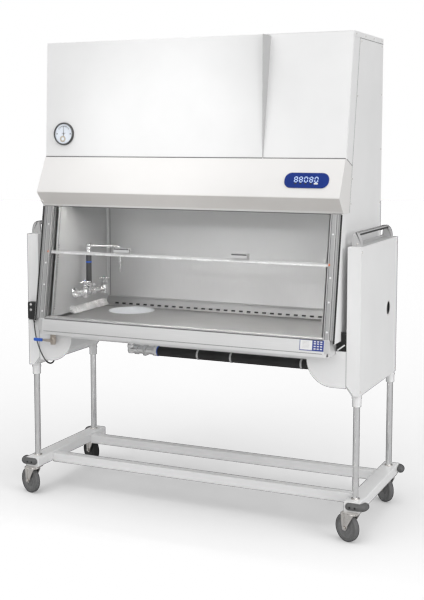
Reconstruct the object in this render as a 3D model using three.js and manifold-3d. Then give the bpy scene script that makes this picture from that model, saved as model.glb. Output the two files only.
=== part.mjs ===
// A biological safety cabinet on a motorised, height-adjustable stand with casters.
// Millimetres, +Z up, +X to the operator's right, -Y towards the operator.
// The origin is on the floor, under the middle of the whole object.

import * as THREE from 'three';
import { mergeVertices } from 'three/addons/utils/BufferGeometryUtils.js';
import Module from 'manifold-3d';

const wasm = await Module();
wasm.setup();

// ---------------------------------------------------------------- driving dimensions

const GAP = 0.3; // air between pieces that touch
const SHEET = 2.5; // painted sheet steel of the outer panels
const LINER = 2; // stainless sheet of the work chamber

const HALF_WIDTH = 840.5; // cabinet, centre line to outer skin
const CABINET_TOP = 2471;
const CABINET_REAR = 357;
const PAN_BOTTOM = 920; // underside of the drain pan
const PANEL_BOTTOM = 985; // lower edge of the painted side panels
const CONSOLE_BOTTOM = 1597; // top of the view opening
const CONSOLE_TOP = 1857.5;
const FRONT_LEAN = Math.tan(THREE.MathUtils.degToRad(9.5)); // the whole front leans back
const FRONT_AT_TOP = -153;

const CHAMBER_HALF = 760; // inner face of the side walls
const CHAMBER_REAR = 244;
const CHAMBER_TOP = 1612;
const WORK_HEIGHT = 993; // top of the work surface
const TRACK_BOTTOM = 1003;
const TRACK_TOP = 2160;
const TRACK_INNER = 780;
const TRACK_OUTER = 829.5;
const TRACK_DEPTH = 46;
const GLASS = { back: 20, thick: 6, bottom: 1351, length: 600, half: 788 };

const LEG_X = 914;
const LEG_YS = { front: -277, rear: 330 };
const LEG_RADIUS = 15;
const LEG_LENGTH = 900;
const RAIL = { half: 41, front: -336, rear: 396, bottom: 158, top: 208 };
const BUMPER = { front: -356, rear: 412.4, inner: 892, outer: 991, bottom: 166, top: 206, reach: 125 };
const CASTER_PLATE = { halfX: 38, halfY: 34, thick: 4 };
const CASTER_X = 914;
const CASTER_YS = { front: -317, rear: 333 };
const CASTER_TURNS = { front_left: -22, rear_left: -28, front_right: -28, rear_right: -42 }; // degrees
const WHEEL_RADIUS = 70;
const CASTER_TRAIL = 36;
const HOUSING = { inner: 870, outer: 937, front: -313, rear: 350, bottom: 724, top: 1442, wall: 3 };
const APRON_THICK = 3;

const SINK = { x: -515, y: 86, radius: 120, depth: 128 };
const FAUCET = { x: -690, z: 1108, hot: 81, cold: -127, riser: -83, swivel: 1345 };

// ---------------------------------------------------------------- materials

function finish(color, roughness, metalness) {
  return new THREE.MeshStandardMaterial({ color, roughness, metalness });
}

const WHITE = finish(0xeceded, 0.45, 0);
const WARM_WHITE = finish(0xf2f0ec, 0.45, 0);
const STAINLESS = finish(0xb9babb, 0.35, 1);
const CHROME = finish(0xd0d2d4, 0.12, 1);
const GREY_PLASTIC = finish(0x8a8b8c, 0.55, 0);
const BLACK_PLASTIC = finish(0x1b1b1c, 0.5, 0);
const DARK_METAL = finish(0x55585b, 0.5, 0.6);
const BLUE_PLASTIC = finish(0x1f3f8f, 0.35, 0);
const BRASS = finish(0xb9a58c, 0.35, 1);
const PALE_KEY = finish(0xe6e6e2, 0.4, 0);
const FILTER_MEDIA = finish(0xf4f4ee, 0.9, 0);
const CLEAR = finish(0xdfe9ec, 0.05, 0);

const cabinet = new THREE.Group();

function add(name, geometry, material, parent = cabinet) {
  const mesh = new THREE.Mesh(geometry, material);
  mesh.name = name;
  parent.add(mesh);
  return mesh;
}

// ---------------------------------------------------------------- solids

// Keeps positions only, shares the corners and drops triangles that have shrunk to a line.
function welded(geometry) {
  const bare = geometry.clone();
  bare.deleteAttribute('normal');
  bare.deleteAttribute('uv');
  const merged = mergeVertices(bare, 1e-3);
  const kept = [];
  const index = merged.index.array;
  for (let i = 0; i < index.length; i += 3) {
    const [a, b, c] = [index[i], index[i + 1], index[i + 2]];
    if (a !== b && b !== c && c !== a) kept.push(a, b, c);
  }
  merged.setIndex(kept);
  return merged;
}

function signedVolume(geometry) {
  const corners = geometry.attributes.position;
  const index = geometry.index.array;
  const [a, b, c] = [new THREE.Vector3(), new THREE.Vector3(), new THREE.Vector3()];
  let sum = 0;
  for (let i = 0; i < index.length; i += 3) {
    a.fromBufferAttribute(corners, index[i]);
    b.fromBufferAttribute(corners, index[i + 1]);
    c.fromBufferAttribute(corners, index[i + 2]);
    sum += a.dot(b.cross(c));
  }
  return sum;
}

function facingOut(geometry) {
  const solid = welded(geometry);
  if (signedVolume(solid) < 0) solid.setIndex(Array.from(solid.index.array).reverse());
  solid.computeVertexNormals();
  return solid;
}

function toManifold(geometry) {
  const solid = facingOut(geometry);
  return new wasm.Manifold(new wasm.Mesh({
    numProp: 3,
    vertProperties: Float32Array.from(solid.attributes.position.array),
    triVerts: Uint32Array.from(solid.index.array),
  }));
}

function toGeometry(manifold) {
  const mesh = manifold.getMesh();
  const geometry = new THREE.BufferGeometry();
  geometry.setAttribute('position', new THREE.BufferAttribute(mesh.vertProperties, 3));
  geometry.setIndex(new THREE.BufferAttribute(mesh.triVerts, 1));
  geometry.computeVertexNormals();
  return geometry;
}

function join(first, ...others) {
  return toGeometry(others.reduce((sum, piece) => sum.add(toManifold(piece)), toManifold(first)));
}

function carve(body, ...tools) {
  return toGeometry(tools.reduce((rest, tool) => rest.subtract(toManifold(tool)), toManifold(body)));
}

function common(first, second) {
  return toGeometry(toManifold(first).intersect(toManifold(second)));
}

function block(x0, x1, y0, y1, z0, z1) {
  const box = new THREE.BoxGeometry(x1 - x0, y1 - y0, z1 - z0);
  return box.translate((x0 + x1) / 2, (y0 + y1) / 2, (z0 + z1) / 2);
}

// An outline from corner points; a corner [u, v, r] is rounded by a curve that starts r before it.
function outline(corners) {
  const shape = new THREE.Shape();
  corners.forEach(([u, v, r = 0], i) => {
    const corner = new THREE.Vector2(u, v);
    const before = new THREE.Vector2(...corners.at(i - 1).slice(0, 2));
    const after = new THREE.Vector2(...corners[(i + 1) % corners.length].slice(0, 2));
    const start = corner.clone().add(before.sub(corner).setLength(r));
    const end = corner.clone().add(after.sub(corner).setLength(r));
    if (i === 0) shape.moveTo(start.x, start.y);
    else shape.lineTo(start.x, start.y);
    if (r > 0) shape.quadraticCurveTo(corner.x, corner.y, end.x, end.y);
  });
  return shape;
}

function extrude(shape, depth, curveSegments = 3) {
  return new THREE.ExtrudeGeometry(shape, { depth, bevelEnabled: false, steps: 1, curveSegments });
}

// The outline's corners are (y, z), and the prism runs from x0 to x1.
function prismX(corners, x0, x1) {
  const basis = new THREE.Matrix4().makeBasis(
    new THREE.Vector3(0, 1, 0), new THREE.Vector3(0, 0, 1), new THREE.Vector3(1, 0, 0));
  return extrude(outline(corners), x1 - x0).applyMatrix4(basis).translate(x0, 0, 0);
}

// The outline's corners are (x, z), and the prism runs from y0 to y1.
function prismY(corners, y0, y1) {
  const basis = new THREE.Matrix4().makeBasis(
    new THREE.Vector3(1, 0, 0), new THREE.Vector3(0, 0, 1), new THREE.Vector3(0, -1, 0));
  return extrude(outline(corners), y1 - y0).applyMatrix4(basis).translate(0, y1, 0);
}

// The outline's corners are (x, y), and the prism runs from z0 to z1.
function prismZ(corners, z0, z1) {
  return extrude(outline(corners), z1 - z0).translate(0, 0, z0);
}

function rodX(x0, x1, y, z, radius, sides = 12) {
  const rod = new THREE.CylinderGeometry(radius, radius, x1 - x0, sides);
  return rod.rotateZ(Math.PI / 2).translate((x0 + x1) / 2, y, z);
}

function rodY(x, y0, y1, z, radius, sides = 12) {
  const rod = new THREE.CylinderGeometry(radius, radius, y1 - y0, sides);
  return rod.translate(x, (y0 + y1) / 2, z);
}

function rodZ(x, y, z0, z1, radius, sides = 12) {
  const rod = new THREE.CylinderGeometry(radius, radius, z1 - z0, sides);
  return rod.rotateX(Math.PI / 2).translate(x, y, (z0 + z1) / 2);
}

// A turned piece around +Z from a profile of (radius, z) points.
function turned(profile, sides) {
  const points = profile.map(([r, z]) => new THREE.Vector2(r, z));
  return facingOut(new THREE.LatheGeometry(points, sides).rotateX(Math.PI / 2));
}

// A bent tube that follows a smooth curve through the points.
function bentTube(points, radius, sides, steps) {
  const curve = new THREE.CatmullRomCurve3(points.map((p) => new THREE.Vector3(...p)), false, 'centripetal');
  const ring = new THREE.Shape();
  for (let i = 0; i < sides; i += 1) {
    const turn = (2 * Math.PI * i) / sides;
    const place = [radius * Math.cos(turn), radius * Math.sin(turn)];
    if (i === 0) ring.moveTo(...place);
    else ring.lineTo(...place);
  }
  ring.closePath();
  return facingOut(new THREE.ExtrudeGeometry(ring, { extrudePath: curve, steps, bevelEnabled: false }));
}

function mirroredX(geometry) {
  return facingOut(geometry.clone().scale(-1, 1, 1));
}

// ---------------------------------------------------------------- the leaning front plane

function frontY(z) {
  return FRONT_AT_TOP - FRONT_LEAN * (2470 - z);
}

// A strip parallel to the front plane, between two depths behind it.
function leaningStrip(x0, x1, near, far, z0, z1) {
  return prismX([
    [frontY(z0) + near, z0],
    [frontY(z0) + far, z0],
    [frontY(z1) + far, z1],
    [frontY(z1) + near, z1],
  ], x0, x1);
}

// A group whose local +Z is the outward normal of a panel, local +Y up along it.
function panelFrame(x, lower, upper, z) {
  const [y0, z0] = lower;
  const [y1, z1] = upper;
  const frame = new THREE.Group();
  frame.position.set(x, y0 + ((y1 - y0) * (z - z0)) / (z1 - z0), z);
  frame.rotation.x = Math.atan2(z1 - z0, y1 - y0);
  cabinet.add(frame);
  return frame;
}

// ---------------------------------------------------------------- stand: base

const SIDES = [['left', -1], ['right', 1]];
const ENDS = [['front', LEG_YS.front, CASTER_YS.front], ['rear', LEG_YS.rear, CASTER_YS.rear]];

// A bumper is a thick angle that wraps an outer corner of the rail and bites 2 mm into it.
function footWithBumpers() {
  const { half, front, rear, bottom, top } = RAIL;
  const bite = 2;
  const railFace = LEG_X + half - bite;
  const behindFront = front - BUMPER.front + bite;
  const rail = block(LEG_X - half, LEG_X + half, front, rear, bottom, top);
  const bumper = (y0, y1) => prismZ([
    [BUMPER.inner, y0, 6],
    [BUMPER.outer, y0, 26],
    [BUMPER.outer, y1, 6],
    [railFace, y1],
    [railFace, y0 + behindFront],
    [BUMPER.inner, y0 + behindFront],
  ], BUMPER.bottom, BUMPER.top);
  const frontBumper = bumper(BUMPER.front, BUMPER.front + BUMPER.reach);
  const rearBumper = facingOut(bumper(-BUMPER.rear, -BUMPER.rear + BUMPER.reach).scale(1, -1, 1));
  const { halfX, halfY, thick } = CASTER_PLATE;
  const plates = Object.values(CASTER_YS).map((y) => (
    block(CASTER_X - halfX, CASTER_X + halfX, y - halfY, y + halfY, bottom - thick, bottom + 1)));
  return join(rail, frontBumper, rearBumper, ...plates);
}

const FORK = { back: -60, nose: 26, half: 22.5, sheet: 3.5, crown: 143.5, top: 147.5, race: 29 };
const AXLE = { radius: 6, half: 24.5 };

// The fork hangs from its swivel race, and its cheeks taper down around the trailing axle.
function casterFork() {
  const { back, nose, half, sheet, race } = FORK;
  const side = half + 1;
  const crown = prismZ([
    [back, -side, 10],
    [nose, -side, 16],
    [nose, side, 16],
    [back, side, 10],
  ], FORK.crown, FORK.top);
  const swivel = rodZ(0, 0, FORK.top - 0.5, RAIL.bottom - CASTER_PLATE.thick - GAP, race, 20);
  const cheek = (y0, y1) => prismY([
    [back, FORK.top - 0.5],
    [-CASTER_TRAIL - 18, WHEEL_RADIUS + 6, 6],
    [-CASTER_TRAIL - 10, WHEEL_RADIUS - 13, 8],
    [-CASTER_TRAIL + 8, WHEEL_RADIUS - 13, 8],
    [-CASTER_TRAIL + 18, WHEEL_RADIUS + 6, 8],
    [nose - 6, FORK.top - 0.5],
  ], y0, y1);
  const axle = rodY(-CASTER_TRAIL, -AXLE.half, AXLE.half, WHEEL_RADIUS, AXLE.radius, 10);
  return join(crown, swivel, cheek(-half, sheet - half), cheek(half - sheet, half), axle);
}

function casterWheel() {
  const bore = AXLE.radius + 0.4;
  const hub = 15;
  const dish = 13;
  const shoulder = 15.5;
  const tread = 9;
  const half = [[bore, hub], [20, hub], [54, dish], [65, shoulder], [WHEEL_RADIUS, tread]];
  const lower = half.map(([radius, z]) => [radius, -z]);
  return turned([...lower, ...half.reverse(), [bore, -hub]], 24).rotateX(Math.PI / 2);
}

const foot = footWithBumpers();
add('foot_left', mirroredX(foot), WHITE);
add('foot_right', foot, WHITE);

const BEAM = { front: -190, rear: 220, depth: 48, bottom: 152, top: 200 };

function crossBeam(y) {
  const reach = LEG_X - RAIL.half - GAP;
  return block(-reach, reach, y, y + BEAM.depth, BEAM.bottom, BEAM.top);
}

add('front_cross_beam', crossBeam(BEAM.front), WHITE);
add('rear_cross_beam', crossBeam(BEAM.rear), WHITE);

for (const [side, sign] of SIDES) {
  for (const [end, legY, casterY] of ENDS) {
    const leg = add(`leg_${end}_${side}`, rodZ(0, 0, 0, LEG_LENGTH, LEG_RADIUS, 20), CHROME);
    leg.position.set(sign * LEG_X, legY, RAIL.top + GAP);
    const turn = THREE.MathUtils.degToRad(CASTER_TURNS[`${end}_${side}`]);
    const fork = add(`caster_fork_${end}_${side}`, casterFork(), STAINLESS);
    fork.position.set(sign * CASTER_X, casterY, 0);
    fork.rotation.z = turn;
    const wheel = add(`caster_wheel_${end}_${side}`, casterWheel(), GREY_PLASTIC);
    wheel.position.set(
      sign * CASTER_X - CASTER_TRAIL * Math.cos(turn), casterY - CASTER_TRAIL * Math.sin(turn), WHEEL_RADIUS);
    wheel.rotation.z = turn;
  }
}

// ---------------------------------------------------------------- stand: lifting frame

const COLLAR = { bottom: 668, radius: 21, overlap: 20 };
const CABLE_PORT = { y: 185, z: 1086, radius: 35 };

// A tall box with a sloping inner lower corner; its collars slide on the chrome legs.
function sideHousing() {
  const { inner, outer, front, rear, bottom, top, wall } = HOUSING;
  const slope = { across: 30, up: 40 };
  const section = (inset) => [
    [outer - inset, bottom + inset],
    [inner + slope.across + inset * 0.4, bottom + inset],
    [inner + inset, bottom + slope.up + inset * 0.4],
    [inner + inset, top - inset],
    [outer - inset, top - inset],
  ];
  const shell = prismY(section(0), front, rear);
  const hollow = prismY(section(wall), front + wall, rear - wall);
  const legs = Object.values(LEG_YS);
  const collars = legs.map((y) => rodZ(LEG_X, y, COLLAR.bottom, bottom + COLLAR.overlap, COLLAR.radius, 20));
  const bores = legs.map((y) => rodZ(LEG_X, y, COLLAR.bottom - 60, bottom + 80, LEG_RADIUS + 0.6, 20));
  const port = rodX(outer - 10, outer + 10, CABLE_PORT.y, CABLE_PORT.z, CABLE_PORT.radius, 20);
  return carve(join(carve(shell, hollow), ...collars), ...bores, port);
}

const housing = sideHousing();
add('side_housing_left', mirroredX(housing), WHITE);
add('side_housing_right', housing, WHITE);

const HANDLE = { inner: 878, outer: 930, front: -272, rear: 268, plate: 8, tall: 66 };

// A guard with two end plates and a flat bar between them, on top of a housing.
function pushHandle() {
  const { inner, outer, front, rear, plate, tall } = HANDLE;
  const base = HOUSING.top + GAP;
  const top = base + tall;
  const endPlate = (y0, y1) => prismY([
    [inner, base], [outer, base], [outer, base + 30, 8], [outer - 16, top, 10], [inner + 6, top, 12],
  ], y0, y1);
  const bar = prismY([
    [inner + 6, top - 14, 3], [inner + 30, top - 14, 3], [inner + 34, top - 4, 4], [inner + 6, top - 2, 4],
  ], front + 6, rear - 6);
  const strap = block(inner, outer, front + 6, rear - 6, base, base + 3);
  return join(endPlate(front, front + plate), endPlate(rear - plate, rear), bar, strap);
}

const handle = pushHandle();
add('push_handle_left', mirroredX(handle), GREY_PLASTIC);
add('push_handle_right', handle, GREY_PLASTIC);

// The apron's lower edge drops in a quarter round at each end to meet the housings.
const APRON = { low: 889, gusset: 757, corner: 800, round: 132, notch: 816, top: 937, flange: 42 };
const LIFT_CONTROL = { left: -840, right: -740, depth: 70, bottom: 800, top: 870 };

function apronOutline() {
  const reach = HOUSING.inner - GAP;
  const shape = new THREE.Shape();
  const upper = PAN_BOTTOM - GAP;
  shape.moveTo(-reach, APRON.top);
  shape.lineTo(-reach, APRON.gusset);
  shape.lineTo(-APRON.corner, APRON.gusset);
  shape.absarc(-APRON.corner, APRON.low, APRON.round, -Math.PI / 2, 0, false);
  shape.lineTo(APRON.corner - APRON.round, APRON.low);
  shape.absarc(APRON.corner, APRON.low, APRON.round, Math.PI, 1.5 * Math.PI, false);
  shape.lineTo(reach, APRON.gusset);
  shape.lineTo(reach, APRON.top);
  shape.lineTo(APRON.notch, APRON.top);
  shape.lineTo(APRON.notch, upper);
  shape.lineTo(-APRON.notch, upper);
  shape.lineTo(-APRON.notch, APRON.top);
  return shape;
}

function frontApron() {
  const { front } = HOUSING;
  const basis = new THREE.Matrix4().makeBasis(
    new THREE.Vector3(1, 0, 0), new THREE.Vector3(0, 0, 1), new THREE.Vector3(0, -1, 0));
  const plate = extrude(apronOutline(), APRON_THICK, 8).applyMatrix4(basis);
  plate.translate(0, front + APRON_THICK, 0);
  const inside = APRON.corner - APRON.round;
  const flange = block(-inside, inside, front, front + APRON.flange, APRON.low, APRON.low + APRON_THICK);
  const { left, right, depth, bottom, top } = LIFT_CONTROL;
  const liftControl = block(left, right, front + 1, front + depth, bottom, top);
  return join(plate, flange, liftControl);
}

add('front_apron', frontApron(), WHITE);

const REAR_MEMBER = {
  drop: 680, arm: 735, bottom: 700, knee: 850, armBottom: 905, top: 960, front: 338, rear: 344,
};

// A deep plate that ties the housings together behind the cabinet.
function rearCrossMember() {
  const reach = HOUSING.inner - GAP;
  const { drop, arm, bottom, knee, armBottom, top, front, rear } = REAR_MEMBER;
  return prismY([
    [-reach, armBottom], [-arm, armBottom], [-drop, knee], [-drop, bottom], [drop, bottom], [drop, knee],
    [arm, armBottom], [reach, armBottom], [reach, top], [-reach, top],
  ], front, rear);
}

add('rear_cross_member', rearCrossMember(), WHITE);

// ---------------------------------------------------------------- hand control of the lift

const PENDANT = { x0: -920, x1: -861, front: -345, bottom: 978, top: 1075, buttonX: -900 };
const PENDANT_BUTTONS = { up: 1062, down: 1033 };

function pendantBody() {
  const { x0, x1, front, bottom, top, buttonX } = PENDANT;
  const back = HOUSING.front - GAP;
  const shell = prismY([[x0, bottom, 9], [x1, bottom, 9], [x1, top, 4], [x0, top, 4]], front, back);
  const wells = Object.values(PENDANT_BUTTONS).map((z) => rodY(buttonX, front - 1, front + 9, z, 7));
  return carve(shell, ...wells);
}

add('pendant_body', pendantBody(), BLACK_PLASTIC);
for (const [way, z] of Object.entries(PENDANT_BUTTONS)) {
  const button = rodY(PENDANT.buttonX, PENDANT.front - 3, PENDANT.front + 6, z, 6.4);
  add(`pendant_${way}_button`, button, PALE_KEY);
}

const CORD_ROUTE = [
  [-890, -329, PENDANT.bottom - GAP],
  [-890.5, -329, 962],
  [-889, -329.5, 940],
  [-884, -330.5, 905],
  [-876, -332, 872],
  [-864, -333, 838],
  [-850, -333, 806],
  [-836, -331.5, 780],
  [-823, -327, 758],
  [-812, -319, 745],
  [-803, -309, 740],
  [-796, -298, 744],
  [-792, -290, 757],
  [-790, -286, 775],
  [-790, -285, 800 - GAP],
];
add('pendant_cord', bentTube(CORD_ROUTE, 3, 8, 34), BLACK_PLASTIC);

// ---------------------------------------------------------------- cabinet: outer panels

const SEAM_BACK = 100; // side returns of the console and front post
const TOP_RETURN = 28; // the top cover folds down over the side panels
const SEAM_ELBOW = 1823; // where the console's slanting seam meets the upright one
const POST_INNER = 832; // painted face of the front posts

function sidePanel() {
  const x0 = HALF_WIDTH - SHEET;
  const seam = (z) => frontY(z) + SEAM_BACK;
  const under = CONSOLE_BOTTOM - GAP;
  const topEdge = CABINET_TOP - TOP_RETURN - GAP;
  const skin = prismX([
    [frontY(PANEL_BOTTOM), PANEL_BOTTOM],
    [CABINET_REAR - SHEET - GAP, PANEL_BOTTOM],
    [CABINET_REAR - SHEET - GAP, topEdge],
    [frontY(topEdge), topEdge],
    [frontY(CONSOLE_TOP + GAP), CONSOLE_TOP + GAP],
    [seam(SEAM_ELBOW), SEAM_ELBOW + GAP],
    [seam(under), under],
    [frontY(under), under],
  ], x0, HALF_WIDTH);
  const postFace = leaningStrip(POST_INNER, x0 + 1, 0, SHEET, PANEL_BOTTOM, under);
  return join(skin, postFace);
}

const panel = sidePanel();
add('side_panel_left', mirroredX(panel), WHITE);
add('side_panel_right', panel, WHITE);

const EXHAUST = { half: 300, front: -60, rear: 260 };

function rearTopCover() {
  const inner = HALF_WIDTH - SHEET;
  const top = block(-HALF_WIDTH, HALF_WIDTH, FRONT_AT_TOP, CABINET_REAR, CABINET_TOP - SHEET, CABINET_TOP);
  const back = block(-HALF_WIDTH, HALF_WIDTH, CABINET_REAR - SHEET, CABINET_REAR, PANEL_BOTTOM, CABINET_TOP);
  const fold = block(inner, HALF_WIDTH, FRONT_AT_TOP, CABINET_REAR, CABINET_TOP - TOP_RETURN, CABINET_TOP);
  const { half, front, rear } = EXHAUST;
  const exhaust = block(-half, half, front, rear, CABINET_TOP - 9, CABINET_TOP + 9);
  return carve(join(top, back, fold, mirroredX(fold)), exhaust);
}

add('rear_top_cover', rearTopCover(), WHITE);

const DOOR = { foot: 412, head: 400, bottom: 1858.2, top: 2462, bottomY: -264, topY: -234 };

function upperFrontPanel() {
  const x1 = HALF_WIDTH - SHEET - GAP;
  const x0 = DOOR.foot + 2;
  const z0 = CONSOLE_TOP + GAP;
  const z1 = CABINET_TOP - SHEET - GAP;
  const face = leaningStrip(DOOR.head + 2, x1, 0, SHEET, z0, z1);
  const fold = leaningStrip(x0, x0 + SHEET, 0, 16, z0, z1);
  return join(face, fold);
}

add('upper_front_panel', upperFrontPanel(), WHITE);

// A box with an inclined front: eight corners, the right edge leaning in towards the top.
function doorBlock(inset, back) {
  const { foot, head, bottom, top, bottomY, topY } = DOOR;
  const [z0, z1] = [bottom + inset, top - inset];
  const [frontLow, frontHigh] = [bottomY + inset, topY + inset];
  const [backLow, backHigh] = [frontY(z0) - back, frontY(z1) - back];
  const left = -HALF_WIDTH + inset;
  const corners = [
    [left, frontLow, z0], [foot - inset, frontLow, z0], [head - inset, frontHigh, z1], [left, frontHigh, z1],
    [left, backLow, z0], [foot - inset, backLow, z0], [head - inset, backHigh, z1], [left, backHigh, z1],
  ];
  const faces = [
    0, 1, 2, 0, 2, 3, 5, 4, 7, 5, 7, 6, 4, 0, 3, 4, 3, 7,
    1, 5, 6, 1, 6, 2, 3, 2, 6, 3, 6, 7, 4, 5, 1, 4, 1, 0,
  ];
  const geometry = new THREE.BufferGeometry();
  geometry.setAttribute('position', new THREE.Float32BufferAttribute(corners.flat(), 3));
  geometry.setIndex(faces);
  return geometry;
}

add('filter_access_panel', carve(doorBlock(0, GAP), doorBlock(SHEET, -60)), WHITE);

// ---------------------------------------------------------------- cabinet: console

const CONSOLE_FACE = { top: [-271, CONSOLE_TOP], bottom: [-362, 1674] };
const CONSOLE_LIP = -293; // front edge of the console's underside

function controlConsole() {
  const seam = (z) => frontY(z) + SEAM_BACK - GAP;
  const shell = prismX([
    CONSOLE_FACE.top,
    [...CONSOLE_FACE.bottom, 5],
    [CONSOLE_LIP, CONSOLE_BOTTOM],
    [seam(CONSOLE_BOTTOM), CONSOLE_BOTTOM],
    [seam(SEAM_ELBOW), SEAM_ELBOW - GAP],
    [frontY(CONSOLE_TOP), CONSOLE_TOP],
  ], -HALF_WIDTH, HALF_WIDTH);
  const [topY] = CONSOLE_FACE.top;
  const [noseY, noseZ] = CONSOLE_FACE.bottom;
  const skin = 5; // sheet thickness measured level through the slanting faces
  const beyond = 20;
  const lip = CONSOLE_LIP + skin - 0.5;
  const tray = topY + 33;
  const openBack = -60;
  const inside = prismX([
    [topY + skin, CONSOLE_TOP - SHEET],
    [noseY + skin, noseZ, 5],
    [lip, CONSOLE_BOTTOM + SHEET],
    [lip, CONSOLE_BOTTOM - beyond],
    [openBack, CONSOLE_BOTTOM - beyond],
    [openBack, CONSOLE_TOP + beyond],
    [tray, CONSOLE_TOP + beyond],
    [tray, CONSOLE_TOP - SHEET],
  ], SHEET - HALF_WIDTH, HALF_WIDTH - SHEET);
  return carve(shell, inside);
}

add('control_console', controlConsole(), WARM_WHITE);

const DISPLAY = { x: 664.5, z: 1754, half: 112.5, tall: 40, round: 34, thick: 5 };
const KEY_OFFSETS = [-53, -28, -2, 24];
const KEY = { y: -17, half: 4, rise: 3, play: 0.4, well: 3, proud: 1 };

const displayFrame = panelFrame(DISPLAY.x, CONSOLE_FACE.bottom, CONSOLE_FACE.top, DISPLAY.z);

function displayPanel() {
  const { half, tall, round, thick } = DISPLAY;
  const pill = prismZ([
    [-half, -tall, round], [half, -tall, round], [half, tall, round], [-half, tall, round],
  ], GAP, GAP + thick);
  const across = KEY.half + KEY.play;
  const up = KEY.rise + KEY.play;
  const wells = KEY_OFFSETS.map((x) => block(
    x - across, x + across, KEY.y - up, KEY.y + up, GAP + thick - KEY.well, GAP + thick + 1));
  return carve(pill, ...wells);
}

add('display_panel', displayPanel(), BLUE_PLASTIC, displayFrame);
KEY_OFFSETS.forEach((x, i) => {
  const face = GAP + DISPLAY.thick;
  const cap = block(
    x - KEY.half, x + KEY.half, KEY.y - KEY.rise, KEY.y + KEY.rise, face - KEY.well + 1, face + KEY.proud);
  add(`display_key_${i + 1}`, cap, BLACK_PLASTIC, displayFrame);
});

const GAUGE = { x: -727, z: 1980 };
const gaugeFrame = panelFrame(GAUGE.x, [DOOR.bottomY, DOOR.bottom], [DOOR.topY, DOOR.top], GAUGE.z);

add('pressure_gauge', turned([
  [0, GAP], [60.5, GAP], [60.5, 9], [56, 15], [51, 15], [49.5, 7], [3.4, 7], [3.4, 3], [0, 3],
], 32), DARK_METAL, gaugeFrame);
add('gauge_needle', join(
  rodZ(0, 0, 4, 10.5, 3, 12),
  prismZ([[-2.2, -14], [2.2, -14], [0.6, 43], [-0.6, 43]], 8.2, 9.6),
), BLACK_PLASTIC, gaugeFrame);

// ---------------------------------------------------------------- sash and its tracks

// Above the view opening the track steps back, to pass behind the console and the upper panel.
function sashTrack() {
  const foot = TRACK_BOTTOM;
  const neck = CONSOLE_BOTTOM - 1;
  const step = 14;
  const post = prismX([
    [frontY(foot), foot],
    [frontY(foot) + TRACK_DEPTH, foot],
    [frontY(TRACK_TOP) + TRACK_DEPTH, TRACK_TOP],
    [frontY(TRACK_TOP) + step, TRACK_TOP],
    [frontY(neck) + step, neck],
    [frontY(neck), neck],
  ], TRACK_INNER, TRACK_OUTER);
  const groove = leaningStrip(
    TRACK_INNER - 2, GLASS.half + 4, GLASS.back - 3, GLASS.back + 9, foot - 5, TRACK_TOP + 5);
  return carve(post, groove);
}

const track = sashTrack();
add('sash_track_left', mirroredX(track), STAINLESS);
add('sash_track_right', track, STAINLESS);

const glassTop = GLASS.bottom + GLASS.length * Math.cos(Math.atan(FRONT_LEAN));
add('sash_glass', leaningStrip(
  -GLASS.half, GLASS.half, GLASS.back, GLASS.back + GLASS.thick, GLASS.bottom, glassTop), CLEAR);

const GRIPS = [[-386, -296], [278, 366]];

function sashGripRail() {
  const half = TRACK_INNER - 2;
  const bottom = GLASS.bottom - 7;
  const channel = leaningStrip(-half, half, 13, 33, bottom, bottom + 15);
  const seat = leaningStrip(
    -half - 5, half + 5, GLASS.back - GAP, GLASS.back + GLASS.thick + GAP, GLASS.bottom - GAP, bottom + 40);
  const grips = GRIPS.flatMap(([x0, x1]) => [
    leaningStrip(x0, x1, 13, GLASS.back - GAP, bottom + 5, 1389),
    leaningStrip(x0, x1, -9, 14, 1383, 1389),
    leaningStrip(x0, x1, -9, -5, 1368, 1389),
  ]);
  return join(carve(channel, seat), ...grips);
}

add('sash_grip_rail', sashGripRail(), STAINLESS);

// ---------------------------------------------------------------- work chamber

const WALL_SETBACK = 36; // the side walls start this far behind the front plane

function chamberWall() {
  return prismX([
    [frontY(TRACK_BOTTOM) + WALL_SETBACK, TRACK_BOTTOM],
    [CHAMBER_REAR, TRACK_BOTTOM],
    [CHAMBER_REAR, CHAMBER_TOP],
    [frontY(CHAMBER_TOP) + WALL_SETBACK, CHAMBER_TOP],
  ], CHAMBER_HALF, CHAMBER_HALF + LINER);
}

const wall = chamberWall();
add('chamber_wall_left', mirroredX(wall), STAINLESS);
add('chamber_wall_right', wall, STAINLESS);

const SLOT = { pitch: 46, width: 24, low: 1001, high: 1010, count: 31 };

const REAR_FOOT = { front: 224, top: 1041 }; // the rear wall slopes forwards below this height

function chamberRearWall() {
  const foot = WORK_HEIGHT + 1;
  const face = CHAMBER_REAR + GAP;
  const sheet = prismX([
    [face, CHAMBER_TOP],
    [face, REAR_FOOT.top],
    [REAR_FOOT.front, foot],
    [REAR_FOOT.front + LINER, foot],
    [face + LINER, REAR_FOOT.top - 1],
    [face + LINER, CHAMBER_TOP],
  ], -CHAMBER_HALF, CHAMBER_HALF);
  const slots = [];
  for (let i = 0; i < SLOT.count; i += 1) {
    const x = (i - (SLOT.count - 1) / 2) * SLOT.pitch;
    slots.push(block(
      x - SLOT.width / 2, x + SLOT.width / 2, REAR_FOOT.front - 14, CHAMBER_REAR + 1, SLOT.low, SLOT.high));
  }
  return carve(sheet, ...slots);
}

add('chamber_rear_wall', chamberRearWall(), STAINLESS);

const WORK_SURFACE = { half: 757, front: -346, rear: 223 };

add('work_surface', carve(
  block(
    -WORK_SURFACE.half, WORK_SURFACE.half, WORK_SURFACE.front, WORK_SURFACE.rear,
    WORK_HEIGHT - SHEET, WORK_HEIGHT),
  rodZ(SINK.x, SINK.y, WORK_HEIGHT - 20, WORK_HEIGHT + 20, SINK.radius + 3, 32),
), STAINLESS);

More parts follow.
